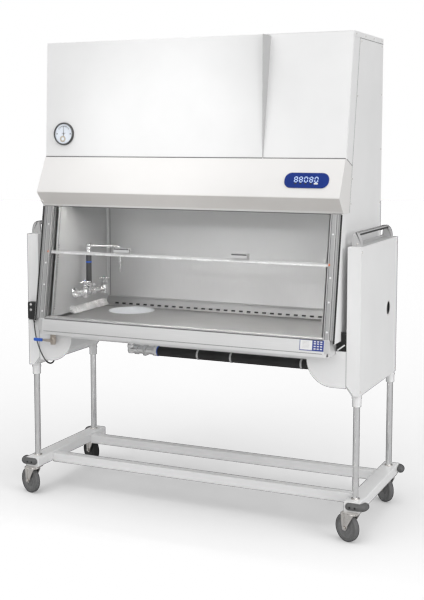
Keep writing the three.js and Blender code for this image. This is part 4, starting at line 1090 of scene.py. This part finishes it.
def track_trim(side, sign):
    """Extruded ribs, painted shade in the grooves beside them and in the gap at the post, screws and the
    orange stop mark.
    """
    def strip(x0, x1, near, far, z0=TRACK_BOTTOM + 1, z1=CONSOLE_BOTTOM - 3):
        low, high = sorted((sign * x0, sign * x1))
        return leaning(low, high, near, far, z0, z1)

    piece(f"track_ribs_{side}", [strip(780.6, 784.4, -2.4, 0.2), strip(806, 809.5, -1.6, 0.2)],
          STAINLESS, "cabinet", bevel=0.6)
    # painted shade: dark strips in the track's grooves
    piece(f"track_groove_shade_{side}", [strip(785.2, 787.4, -0.5, 0.2), strip(810.2, 812.6, -0.5, 0.2),
                                    strip(822.5, 824.0, -0.5, 0.2)], SEAL_AND_SHADE_LINE, "cabinet", bevel=0)
    # painted shade: a dark strip in the gap between the track and the post
    piece(f"post_gap_shade_{side}", [strip(829.7, 838.2, -1.8, 1.5, PANEL_BOTTOM + 2)], HOLE_SHADE_AND_SEAM, "cabinet",
          bevel=0.5)
    normal = Vector((0, -1, LEAN)).normalized()
    heads = [((sign * 797, front_y(z), z), normal) for z in (1040, 1180, 1295, 1500)]
    screws(f"track_screws_{side}", heads, "cabinet", LABEL_WHITE, 5.0)
    mark = lathe([(0, 0), (6.0, 0), (6.0, 0.8), (5, 1.5), (0, 1.7)], 28)
    z = SASH_FOOT + 12
    piece(f"sash_stop_mark_{side}", [moved(mark, (sign * 786, front_y(z) - 0.6, z), towards(normal))], ORANGE,
          "cabinet", bevel=0)


def sash_trim():
    """The bright lower edge of the glass, and a dark shade strip at each finger grip."""
    lip = leaning(-776, 776, 9.5, 13.2, SASH_FOOT + 1, SASH_FOOT + 9)
    piece("sash_bright_edge", [lip], BRIGHT_EDGE, "sash", bevel=1.0)
    for side, (x0, x1) in zip(("left", "right"), ((-386, -296), (278, 366))):
        shade = leaning(x0 + 3, x1 - 3, -9.6, -8.8, 1381.5, 1388)
        piece(f"grip_shade_{side}", [shade], DARK_METAL, "sash", bevel=0.2)


for side, sign in SIDES:
    track_trim(side, sign)
sash_trim()

# ---------------------------------------------------------------- work chamber

CHAMBER_HALF = 760.0
CHAMBER_REAR = 244.0
WORK_LEVEL = span("work_surface")[1].z
FILLET = 14.0


def corner_fillet():
    """Rounded vertical corners between the rear wall and the side walls, with a folded edge."""
    for side, sign in SIDES:
        ring = [(CHAMBER_HALF - 0.2, CHAMBER_REAR - 0.2)]
        for step in range(9):
            angle = math.radians(90 * step / 8)
            ring.append((CHAMBER_HALF - 0.2 - FILLET * (1 - math.sin(angle)) * 1.0,
                         CHAMBER_REAR - 0.2 - FILLET * (1 - math.cos(angle))))
        part = prism([(sign * x, y) for x, y in ring], "Z", 1044, 1600)
        piece(f"corner_fillet_{side}", [part], LINER, "cabinet", bevel=0)
        fold = block(*sorted((sign * (CHAMBER_HALF - 22), sign * (CHAMBER_HALF - 19.5))), CHAMBER_REAR - 0.9,
                     CHAMBER_REAR + 0.2, 1044, 1600)
        piece(f"corner_seam_{side}", [fold], SEAL_AND_SHADE_LINE, "cabinet", bevel=0)


def wall_trim(side, sign):
    """Sloped cove along the wall's foot, and the row of air-return holes behind the track, drawn as
    near-black discs: painted shade.
    """
    cove = prism([(CHAMBER_HALF - 0.3, 1034), (CHAMBER_HALF - 0.3, 1003), (CHAMBER_HALF - 26, 995.4),
                  (CHAMBER_HALF - 26, 997.5), (CHAMBER_HALF - 3, 1031)], "Y", -172, 214)
    piece(f"wall_cove_{side}", [mirrored(cove) if sign < 0 else cove], BRIGHT_EDGE, "cabinet", bevel=0.8)
    holes = []
    z = 1045.0
    while z < 1390:
        hole = lathe([(0, -0.2), (3.6, -0.2), (3.6, 0.25), (0, 0.25)], 16)
        holes.append(moved(hole, (sign * CHAMBER_HALF, front_y(z) + 62, z), towards((-sign, 0, 0))))
        z += 13.0
    piece(f"return_air_hole_shade_{side}", holes, HOLE_SHADE_AND_SEAM, "cabinet", bevel=0)
    edge = leaning(*sorted((sign * (CHAMBER_HALF - 0.2), sign * (CHAMBER_HALF - 1.4))), 50, 52.5, 1012, 1596)
    piece(f"wall_front_fold_{side}", [edge], SEAL_AND_SHADE_LINE, "cabinet", bevel=0)


def rear_wall_trim():
    ledge = prism([(CHAMBER_REAR + 0.1, 1049), (CHAMBER_REAR + 0.1, 1043), (CHAMBER_REAR - 5, 1041),
                   (CHAMBER_REAR - 5, 1043)], "X", -CHAMBER_HALF + 1, CHAMBER_HALF - 1)
    piece("rear_wall_ledge", [ledge], TRACK_STEEL, "cabinet", bevel=0.4)
    shade = block(-CHAMBER_HALF + 1, CHAMBER_HALF - 1, 246.6, 248, 997, 1038)
    piece("rear_plenum_shade", [shade], HOLE_SHADE_AND_SEAM, "cabinet", bevel=0)


def work_surface_trim():
    """Raised front rim, pressed inner line, and lift-out finger notches of the work surface drawn as dark
    plates: painted shade.
    """
    rim = prism([(-345.6, WORK_LEVEL + 0.1), (-345.6, WORK_LEVEL + 5, 2), (-339, WORK_LEVEL + 5, 2),
                 (-333, WORK_LEVEL + 0.1)], "X", -755, 755)
    piece("work_surface_rim", [rim], DARK_STEEL_AND_SHADE, "cabinet", bevel=0.5)
    line = [block(-752, 752, -318, -316.6, WORK_LEVEL - 0.1, WORK_LEVEL + 0.25)]
    line.append(block(-752, 752, 206, 207.4, WORK_LEVEL - 0.1, WORK_LEVEL + 0.25))
    piece("work_surface_lines", line, SEAL_AND_SHADE_LINE, "cabinet", bevel=0)
    for side, x in (("left", -250), ("right", 560)):
        pull = prism([(x - 28, -300, 8), (x + 28, -300, 8), (x + 28, -284, 8), (x - 28, -284, 8)], "Z",
                     WORK_LEVEL - 0.2, WORK_LEVEL + 0.3)
        piece(f"lift_notch_shade_{side}", [pull], HOLE_SHADE_AND_SEAM, "cabinet", bevel=0)


def sink():
    """A spun bowl with a rolled rim, a strainer and its dark holes."""
    x, y = -515.0, 86.0
    radius, floor, rim = 120.0, WORK_LEVEL - 128, WORK_LEVEL + 0.3
    bowl = lathe([
        (0, floor - 2), (96, floor - 2), (112, floor + 5), (120, floor + 22), (radius, rim),
        (radius + 9.4, rim),
        (radius + 10, rim + 1), (radius + 9, rim + 2), (radius + 1, rim + 2), (radius - 2, rim + 0.4),
        (radius - 2, floor + 23), (110, floor + 7), (95, floor), (34, floor - 1), (0, floor - 1),
    ], 96)
    piece("spun_sink", [moved(bowl, (x, y, 0))], PORCELAIN, "cabinet", bevel=0, replaces=["sink_bowl"],
          slot="stainless")
    ring = lathe([(18, floor - 1), (30, floor - 0.9), (31, floor + 0.6), (29, floor + 1.6), (19, floor + 1),
                  (18, floor - 1)], 64)
    grid = [block(-20, 20, dy - 1.2, dy + 1.2, floor - 0.4, floor + 0.8) for dy in (-12, -6, 0, 6, 12)]
    piece("sink_strainer", [moved(part, (x, y, 0)) for part in (ring, *grid)], CHROME, "cabinet", bevel=0.2)
    hole = lathe([(0, floor - 0.95), (19, floor - 0.95), (19, floor - 0.5), (0, floor - 0.5)], 48)
    piece("sink_outlet_shade", [moved(hole, (x, y, 0))], HOLE_SHADE_AND_SEAM, "cabinet", bevel=0)


corner_fillet()
for side, sign in SIDES:
    wall_trim(side, sign)
rear_wall_trim()
work_surface_trim()
sink()

# ---------------------------------------------------------------- sill, label and ceiling

PAN_LOW, PAN_HIGH = span("drain_pan")


def sill_trim():
    """Airfoil over the intake, folded line of the pan and its two corner caps."""
    foil = prism([(front_y(1006) + 3, 1003), (front_y(1006) + 3, 1007, 3), (front_y(1011) + 12, 1012.4, 4),
                  (-366, 1012.4, 1), (-366, 1011.2), (front_y(1011) + 13, 1011.2)], "X", -777, 777)
    piece("sill_airfoil", [foil], TRACK_STEEL, "cabinet", bevel=0.4)
    line = leaning(-PAN_HIGH.x + 34, PAN_HIGH.x - 34, -0.5, 0.3, 935.5, 937.6)
    piece("pan_fold_line", [line], SEAL_AND_SHADE_LINE, "cabinet", bevel=0)
    shade = leaning(-779, 779, -0.6, 2.2, 998.5, 1002.6)
    piece("sill_shadow_line", [shade], SEAL_AND_SHADE_LINE, "cabinet", bevel=0)
    for side, sign in SIDES:
        cap = leaning(*sorted((sign * 789, sign * 815.5)), -1.8, 3.5, 938, 1001)
        piece(f"pan_corner_cap_{side}", [cap], STAINLESS, "cabinet", bevel=2.0)


def generic_label():
    """An unlettered information plate: a white field with rules and a blue field with pale cells."""
    (x0, x1), (z0, z1) = (664.0, 786.0), (948.0, 1001.0)
    middle = (x0 + x1) / 2 + 3

    def field(a, b, low, high, proud):
        return leaning(a, b, -proud, 0.2, low, high)

    piece("label_border", [field(x0, x1, z0, z1, 0.5)], LABEL_BLUE, "cabinet", bevel=0.2)
    piece("label_white_field", [field(x0 + 3, middle, z0 + 4, z1 - 4, 0.8)], LABEL_WHITE, "cabinet", bevel=0)
    rules = [field(x0 + 14, middle - 14, z, z + 1.6, 0.95) for z in range(960, 992, 6)]
    piece("label_rules", rules, PALE_GREY, "cabinet", bevel=0)
    cells = [field(x, x + 10, z, z + 5, 0.8) for x in (middle + 8, middle + 24, middle + 40) for z in (956,
                                                                                                       968,
                                                                                                       980,
                                                                                                       990)]
    piece("label_cells", cells, LABEL_WHITE, "cabinet", bevel=0)


def ceiling():
    """Perforated diffuser under the supply filter, with its frame, and the two lamp tubes in front."""
    low, high = span("supply_filter")
    diffuser = block(low.x, high.x, low.y, high.y, low.z - 6, low.z - 4)
    piece("supply_diffuser", [diffuser], PERFORATED, "cabinet", bevel=0.3)
    frame_bars = [block(low.x - 6, high.x + 6, y, y + 8, low.z - 8, low.z - 0.4) for y in (low.y - 8,
                                                                                           high.y - 2)]
    frame_bars += [block(x, x + 8, low.y, high.y, low.z - 8, low.z - 0.4) for x in (low.x - 8, high.x)]
    piece("diffuser_frame", frame_bars, STAINLESS, "cabinet", bevel=0.8)
    lamps = [rod((-690, y, low.z + 12), (690, y, low.z + 12), 7.5, sides=24) for y in (-236, -216)]
    piece("lamp_tubes", lamps, LAMP, "cabinet", bevel=0)


def exhaust_media():
    """Pleats that show through the exhaust opening in the top cover."""
    low, high = span("exhaust_filter")
    pleats = []
    count = 44
    pitch = (high.x - low.x - 30) / count
    for i in range(count):
        x = low.x + 15 + i * pitch
        pleats.append(prism([(x, high.z), (x + pitch * 0.5, high.z + 9), (x + pitch, high.z),
                             (x + pitch * 0.5, high.z - 1)],
                            "Y", low.y + 14, high.y - 14))
    piece("exhaust_pleats", pleats, MEDIA, "cabinet", bevel=0)
    frame_bars = [block(low.x, high.x, y, y + 14, high.z - 1, high.z + 11) for y in (low.y, high.y - 14)]
    frame_bars += [block(x, x + 14, low.y + 14, high.y - 14, high.z - 1, high.z + 11) for x in (low.x,
                                                                                                high.x - 14)]
    piece("exhaust_frame", frame_bars, FAN_STEEL, "cabinet", bevel=0.8)


sill_trim()
generic_label()
ceiling()
exhaust_media()

# ---------------------------------------------------------------- faucet

FAUCET_X = -690.0
FAUCET_Z = 1108.0
VALVE_YS = {"hot": 81.0, "cold": -127.0}
RISER_Y = -83.0
SWIVEL_Z = 1345.0
HANDLE_Z = FAUCET_Z + 50.3
SPOUT_REACH = (150.0, 88.0)


def faucet_valve(y):
    """One side of the mixing faucet: wall flange, shank, stop body with its nut, and bonnet."""
    flange = lathe([(0, 0), (27, 0), (27, 3), (22, 7.5), (17, 9), (0, 9)], 64)
    shank = lathe([(0, 0), (15, 0), (15, 32), (13, 34), (13, 40), (17, 42), (17, 54), (0, 54)], 48)
    body = lathe([
        (0, -25), (13, -25), (16, -21), (19, -12), (20, 0), (19, 12), (16.5, 20), (16.5, 24), (19, 25),
        (19, 35),
        (15.5, 37), (12, 40), (12, 46), (9, 49.8), (0, 49.8),
    ], 48)
    nut = hex_nut((FAUCET_X, y, FAUCET_Z + 25), (0, 0, 1), 37, 9)
    wall = -CHAMBER_HALF + 0.3
    return [
        moved(flange, (wall, y, FAUCET_Z), towards((1, 0, 0))),
        moved(shank, (wall + 4, y, FAUCET_Z), towards((1, 0, 0))),
        moved(body, (FAUCET_X, y, FAUCET_Z)),
        nut,
    ]


def faucet():
    parts = [part for y in VALVE_YS.values() for part in faucet_valve(y)]
    bridge = lathe([
        (0, 0), (12, 0), (15, 3), (15, 8), (12.5, 11), (12.5, 22), (16, 25), (16, 36), (12.5, 39),
        (12.5, 104), (16, 107), (16, 118), (12.5, 121), (12.5, 150), (16, 153), (16, 160), (0, 160),
    ], 48)
    parts.append(moved(bridge, (FAUCET_X, VALVE_YS["hot"], FAUCET_Z), towards((0, -1, 0))))
    tail = lathe([
        (0, 0), (15, 0), (17, 3), (17, 12), (12, 15), (12, 40), (16, 43), (16, 56), (11, 60), (11, 84),
        (15, 87), (15, 106), (12, 110), (8, 112), (8, 118), (0, 118),
    ], 48)
    parts.append(moved(tail, (FAUCET_X, VALVE_YS["cold"], FAUCET_Z), towards((0, -1, 0))))
    column = lathe([
        (0, 0), (19, 0), (19, 10), (15, 14), (15, 24), (18, 26), (18, 40), (12, 46), (12, 50), (12, 214),
        (15, 217), (15, 232), (13, 236.6), (0, 236.6),
    ], 64)
    parts.append(moved(column, (FAUCET_X, RISER_Y, FAUCET_Z)))
    parts.append(hex_nut((FAUCET_X, RISER_Y, FAUCET_Z + 27), (0, 0, 1), 35, 11))
    made = piece("mixing_faucet", parts, CHROME, "cabinet", bevel=0.5, replaces=["faucet_body"],
                 slot="chrome_tube")
    shroud = lathe([(12.1, 52), (15.5, 54), (15.5, 210), (12.1, 212), (12.1, 52)], 48)
    piece("riser_shroud", [moved(shroud, (FAUCET_X, RISER_Y, FAUCET_Z))], DARK_METAL, "cabinet", bevel=0.3)
    band = lathe([(15.6, 0), (16.4, 0), (16.4, 8), (15.6, 8), (15.6, 0)], 40)
    piece("riser_blue_band", [moved(band, (FAUCET_X, RISER_Y, FAUCET_Z + 166))], BLUE_SLEEVE, "cabinet",
          bevel=0.3)
    return made


def spout():
    """Swinging gooseneck with a collar, a serrated hose nozzle and a ball end on top."""
    x1, y1 = SPOUT_REACH
    top = 22.0
    neck = tube([
        (0, 0, 8), (1, 0.5, top - 5), (14, 8, top), (x1 * 0.5, y1 * 0.5, top - 3), (x1 - 16, y1 - 9, top - 7),
        (x1 - 3, y1 - 2, top - 16), (x1, y1, top - 36), (x1, y1, top - 92),
    ], 7.5, sides=28, steps=8)
    collar = lathe([(0, 0.2), (14, 0.2), (14.5, 2), (14.5, 11), (13, 14), (15.5, 18), (16.5, 24), (15, 31),
                    (10, 35.5),
                    (0, 36)], 48)
    nozzle = [(0, top - 84), (11, top - 84), (11, top - 96)]
    for i in range(5):
        z = top - 98 - i * 9
        nozzle += [(9.6 - i * 0.7, z), (6.6 - i * 0.7, z - 7.5)]
    nozzle += [(3.6, top - 146), (0, top - 146)]
    parts = [neck, collar, moved(lathe(nozzle, 40), (x1, y1, 0))]
    place = (FAUCET_X, RISER_Y, SWIVEL_Z)
    piece("swing_spout", [moved(part, place) for part in parts], CHROME, "spout", bevel=0.3,
          replaces=["faucet_spout"], slot="chrome_tube")


def cross_handle(way, y, index):
    """A four-armed handle with ball ends and a coloured index button."""
    hub = lathe([(0, 0), (9, 0), (11, 3), (11, 15), (9, 18.5), (8, 19.5), (0, 19.5)], 40)
    parts = [hub]
    for turn in range(4):
        arm = lathe([(0, 0), (4.2, 0), (3.6, 12), (3.4, 20), (4.6, 23), (5.4, 27), (4.8, 30.5), (2.5, 32.4),
                     (0, 33)], 28)
        angle = math.radians(45 + 90 * turn)
        parts.append(moved(arm, (0, 0, 11), towards((math.cos(angle), math.sin(angle), 0))))
    place = (FAUCET_X, y, HANDLE_Z)
    piece(f"cross_handle_{way}", [moved(part, place) for part in parts], CHROME, f"{way}_handle", bevel=0.4,
          replaces=[f"faucet_handle_{way}"], slot="chrome_tube")
    button = lathe([(0, 19.3), (6.4, 19.3), (6.4, 20.4), (4.5, 21.3), (0, 21.7)], 32)
    piece(f"handle_index_{way}", [moved(button, place)], index, f"{way}_handle", bevel=0)


faucet()
spout()
cross_handle("hot", VALVE_YS["hot"], GREEN)
cross_handle("cold", VALVE_YS["cold"], BLUE_SLEEVE)

# ---------------------------------------------------------------- drain valve under the sill

VALVE = (-762.0, -345.0, 878.0)
PAN_UNDER = PAN_LOW.z


def drain_valve():
    x, y, z = VALVE
    ball = lathe([
        (0, -25), (12, -25), (12, -18), (15.5, -15), (17, -8), (17, 8), (15.5, 15), (12, 18), (12, 26),
        (0, 26),
    ], 40)
    upper = hex_nut((x, y, z + 16), (0, 0, 1), 29, 10)
    lower = hex_nut((x, y, z - 24), (0, 0, 1), 27, 8)
    stem = lathe([(0, 0), (8, 0), (8, 14), (5, 16), (5, 20.8), (0, 20.8)], 32)
    pipe = rod((x, y, z + 22), (x, y, PAN_UNDER - 12), 11.5, sides=32)
    piece("ball_valve", [moved(ball, (x, y, z)), upper, lower, moved(stem, (x, y, z), towards((0, -1, 0))),
                         pipe],
          BRASS, "cabinet", bevel=0.5, replaces=["drain_valve"], slot="brass_valve")
    ring = lathe([(0, 0), (13.5, 0), (13.5, 8), (11.5, 11.5), (0, 11.5)], 36)
    piece("valve_white_ring", [moved(ring, (x, y, PAN_UNDER - 12))], LABEL_WHITE, "cabinet", bevel=0.4)


def valve_lever():
    """A stamped lever with a dipped blue sleeve, held by a nut."""
    x, y, z = VALVE
    arm = prism([(x + 10, z - 9, 6), (x + 10, z + 9, 6), (x - 16, z + 8, 6), (x - 56, z + 5, 2),
                 (x - 56, z - 5, 2),
                 (x - 16, z - 8, 6)], "Y", y - 26, y - 22.9)
    nut = hex_nut((x, y - 26, z), (0, -1, 0), 11, 3.4)
    piece("valve_lever_arm", [arm, nut], BRASS, "valve_lever", bevel=0.5, replaces=["drain_valve_lever"],
          slot="blue_sleeve")
    sleeve = prism([(x - 50, z - 8.5, 5), (x - 50, z + 8.5, 5), (x - 106.5, z + 8.5, 7),
                    (x - 106.5, z - 8.5, 7)],
                   "Y", y - 29.6, y - 20.4)
    made = piece("valve_lever_sleeve", [sleeve], BLUE_SLEEVE, "valve_lever", bevel=3.2)
    made.modifiers["edge"].segments = 4


drain_valve()
valve_lever()

# ---------------------------------------------------------------- drain line under the cabinet

PIPE_LEVEL = 774.0
PIPE_Y = 86.0
WRAP = (-345.0, 560.0)
STRAP_XS = (-98.0, 100.0, 504.0)


def drain_line():
    """Chrome trap with union nuts under the sink, then a long pipe in a black foam wrap with straps."""
    inlet = WORK_LEVEL - 128 - 2.3
    drop = lathe([
        (0, -22), (20, -22), (20, 8), (24, 10), (24, 24), (19, 27), (19, 60), (23, 63), (23, 76), (19, 80),
        (19, inlet - PIPE_LEVEL), (0, inlet - PIPE_LEVEL),
    ], 48)
    run = lathe([
        (0, 0), (21, 0), (23, 3), (23, 22), (27, 25), (27, 44), (22, 47), (22, 78), (29, 81), (29, 98),
        (22, 101),
        (22, 138), (27, 141), (27, 158), (23, 161), (23, 168), (0, 168),
    ], 48)
    parts = [moved(drop, (-515, PIPE_Y, PIPE_LEVEL)),
             moved(run, (-515, PIPE_Y, PIPE_LEVEL), towards((1, 0, 0))),
             hex_nut((-432, PIPE_Y, PIPE_LEVEL), (1, 0, 0), 58, 15)]
    piece("chrome_trap", parts, CHROME, "cabinet", bevel=0.6, replaces=["drain_line"], slot="chrome_tube")
    ring = lathe([(0, 0), (27.5, 0), (28, 3), (28, 12), (27, 16), (0, 16)], 48)
    piece("trap_white_ring", [moved(ring, (-364, PIPE_Y, PIPE_LEVEL), towards((1, 0, 0)))], LABEL_WHITE,
          "cabinet", bevel=0.4)
    band = lathe([(0, 0), (27.8, 0), (27.8, 4), (0, 4)], 48)
    piece("trap_blue_ring", [moved(band, (-348, PIPE_Y, PIPE_LEVEL), towards((1, 0, 0)))], BLUE_SLEEVE,
          "cabinet", bevel=0.3)
    wrap = rod((WRAP[0] + 1.5, PIPE_Y, PIPE_LEVEL), (WRAP[1], PIPE_Y, PIPE_LEVEL), 26, sides=56, chamfer=3)
    piece("foam_wrapped_pipe", [wrap], BLACK_HOSE, "cabinet", bevel=0)
    for i, x in enumerate(STRAP_XS, 1):
        strap = lathe([(26, -5), (27.4, -5), (27.4, 5), (26, 5), (26, -5)], 56)
        buckle = block(-4, 4, -6, 6, 26, 31)
        hanger = rod((0, 0, 28), (0, 0, PAN_UNDER - PIPE_LEVEL - 1), 2.4, sides=16)
        parts = [moved(strap, (x, PIPE_Y, PIPE_LEVEL), towards((1, 0, 0))),
                 moved(buckle, (x, PIPE_Y, PIPE_LEVEL)), moved(hanger, (x, PIPE_Y, PIPE_LEVEL))]
        piece(f"pipe_strap_{i}", parts, PALE_GREY, "cabinet", bevel=0.4)


drain_line()

# ---------------------------------------------------------------- finishes of the CAD nodes that stay

NODE_FINISH = {
    "front_cross_beam": (WHITE, 2.0), "rear_cross_beam": (WHITE, 2.0),
    "side_housing_left": (WHITE, 1.2), "side_housing_right": (WHITE, 1.2),
    "front_apron": (WHITE, 0.8), "rear_cross_member": (WHITE, 0.8),
    "side_panel_left": (WHITE, 0.8), "side_panel_right": (WHITE, 0.8),
    "rear_top_cover": (WHITE, 0.8), "upper_front_panel": (WHITE, 0.8),
    "filter_access_panel": (WHITE, 0.8), "control_console": (WARM_WHITE, 0.8),
    "sash_track_left": (TRACK_STEEL, 0.8), "sash_track_right": (TRACK_STEEL, 0.8),
    "sash_glass": (GLASS, 0.4), "sash_grip_rail": (STAINLESS, 0.4),
    "chamber_wall_left": (LINER, 0.3), "chamber_wall_right": (LINER, 0.3),
    "chamber_rear_wall": (REAR_LINER, 0.3), "work_surface": (WORK_STEEL, 0.8),
    "drain_pan": (PAN_STEEL, 0.8),
    "supply_filter": (MEDIA, 1.0), "exhaust_filter": (MEDIA, 1.0),
    "blower_housing": (FAN_STEEL, 0.6), "blower_impeller": (FAN_STEEL, 0.3),
}
for node, (material, bevel) in NODE_FINISH.items():
    refine(node, material, bevel)
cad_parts["sash_glass"].visible_shadow = False


SLOPE_TOP = 1042.0  # the slope ends and the upright wall begins here


def paint_shade_on_slope():
    """The rear wall's foot, which slopes forwards, gets a darker copy of its steel: painted shade."""
    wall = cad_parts["chamber_rear_wall"]
    wall.data.materials.append(DARK_STEEL_AND_SHADE)
    for face in wall.data.polygons:
        if max((wall.matrix_world @ wall.data.vertices[i].co).z for i in face.vertices) < SLOPE_TOP * MM:
            face.material_index = 1


paint_shade_on_slope()

# ---------------------------------------------------------------- floor, lights and surroundings

FLOOR_RADIUS = 30.0
FLOOR_SIDES = 96
FLOOR_SINK = 0.0005
SPOT_RADIUS = 0.25
LOOK_AT = (0.0, -0.1, 1.35)
STUDIO_TONES = ((0.40, 0.45), (0.5, 0.55), (0.62, 0.75), (0.8, 0.9), (1.0, 1.0))  # height, tone
SOFTBOXES = (  # name, place, size, power, aim
    ("key_softbox", (-1.6, -6.0, 4.2), (4.5, 3.0), 50.0, LOOK_AT),
    ("fill_softbox", (5.5, -2.0, 2.8), (3.0, 3.0), 88.0, LOOK_AT),
    ("top_softbox", (0.0, -0.5, 5.4), (4.0, 3.0), 40.0, LOOK_AT),
    ("strip_light", (1.15, -5.6, 1.4), (0.35, 2.8), 12.0, (0.0, 0.0, 1.2)),
)


def add_floor():
    mesh = bpy.data.meshes.new("floor")
    ring = [(FLOOR_RADIUS * math.cos(2 * math.pi * i / FLOOR_SIDES),
             FLOOR_RADIUS * math.sin(2 * math.pi * i / FLOOR_SIDES), -FLOOR_SINK) for i in range(FLOOR_SIDES)]
    mesh.from_pydata(ring, [], [tuple(range(FLOOR_SIDES))])
    mesh.materials.append(surface("studio_floor", (grey(0.62), grey(0.60)), (0.7, 0.8), patch=0.5))
    floor = bpy.data.objects.new("floor", mesh)
    bpy.context.scene.collection.objects.link(floor)
    floor.is_shadow_catcher = True


def hang(name, lamp, power, place, aim):
    lamp.energy = power
    made = bpy.data.objects.new(name, lamp)
    made.location = place
    made.rotation_euler = (Vector(place) - Vector(aim)).to_track_quat("Z", "Y").to_euler()
    bpy.context.scene.collection.objects.link(made)


def add_softbox(name, place, size, power, aim):
    lamp = bpy.data.lights.new(name, "AREA")
    lamp.shape = "RECTANGLE"
    lamp.size, lamp.size_y = size
    hang(name, lamp, power, place, aim)


def add_spot(name, place, aim, width, power):
    """A soft-edged pool of light; width is the cone's angle in degrees."""
    lamp = bpy.data.lights.new(name, "SPOT")
    lamp.spot_size = math.radians(width)
    lamp.spot_blend = 1.0
    lamp.shadow_soft_size = SPOT_RADIUS
    hang(name, lamp, power, place, aim)


def ranged(tree, value, start, end):
    """Map the range start onto the range end, held at its limits outside it."""
    made = tree.nodes.new("ShaderNodeMapRange")
    made.inputs["From Min"].default_value, made.inputs["From Max"].default_value = start
    made.inputs["To Min"].default_value, made.inputs["To Max"].default_value = end
    tree.links.new(value, made.inputs["Value"])
    return made.outputs["Result"]


def add_surroundings():
    """A white backdrop to look at, and a greyer studio, dark near the floor, that lights the object."""
    world = bpy.data.worlds.new("studio")
    world.use_nodes = True
    tree = world.node_tree
    where = tree.nodes.new("ShaderNodeTexCoord")
    split = tree.nodes.new("ShaderNodeSeparateXYZ")
    tree.links.new(where.outputs["Generated"], split.inputs[0])
    height = ranged(tree, split.outputs["Z"], (-1.0, 1.0), (0.0, 1.0))
    ramp = tree.nodes.new("ShaderNodeValToRGB")
    stops = ramp.color_ramp.elements
    (low, dark), *between, (high, bright) = STUDIO_TONES
    stops[0].position, stops[0].color = low, (*grey(dark), 1)
    stops[1].position, stops[1].color = high, (*grey(bright), 1)
    for at, tone in between:
        stops.new(at).color = (*grey(tone), 1)
    tree.links.new(height, ramp.inputs["Fac"])
    sideways = ranged(tree, split.outputs["X"], (-0.75, -0.1), (0.7, 1.0))
    behind = ranged(tree, split.outputs["Y"], (0.1, 0.6), (1.0, 0.35))
    dimmed = tree.nodes.new("ShaderNodeMath")
    dimmed.operation = "MULTIPLY"
    tree.links.new(sideways, dimmed.inputs[0])
    tree.links.new(behind, dimmed.inputs[1])
    studio = tree.nodes["Background"]
    shaded = blended(tree, dimmed.outputs[0], (0.0, 0.0, 0.0), ramp.outputs["Color"])
    tree.links.new(shaded, studio.inputs["Color"])
    studio.inputs["Strength"].default_value = 1.0
    backdrop = tree.nodes.new("ShaderNodeBackground")
    backdrop.inputs["Color"].default_value = (1, 1, 1, 1)
    seen = tree.nodes.new("ShaderNodeLightPath")
    choose = tree.nodes.new("ShaderNodeMixShader")
    tree.links.new(seen.outputs["Is Camera Ray"], choose.inputs["Fac"])
    tree.links.new(studio.outputs[0], choose.inputs[1])
    tree.links.new(backdrop.outputs[0], choose.inputs[2])
    tree.links.new(choose.outputs[0], tree.nodes["World Output"].inputs["Surface"])
    bpy.context.scene.world = world


add_floor()
add_surroundings()
for softbox in SOFTBOXES:
    add_softbox(*softbox)
add_spot("door_spot", (-0.9, -5.4, 2.9), (-0.16, -0.25, 2.02), 15.0, 260.0)
bpy.context.scene.view_settings.view_transform = "Standard"
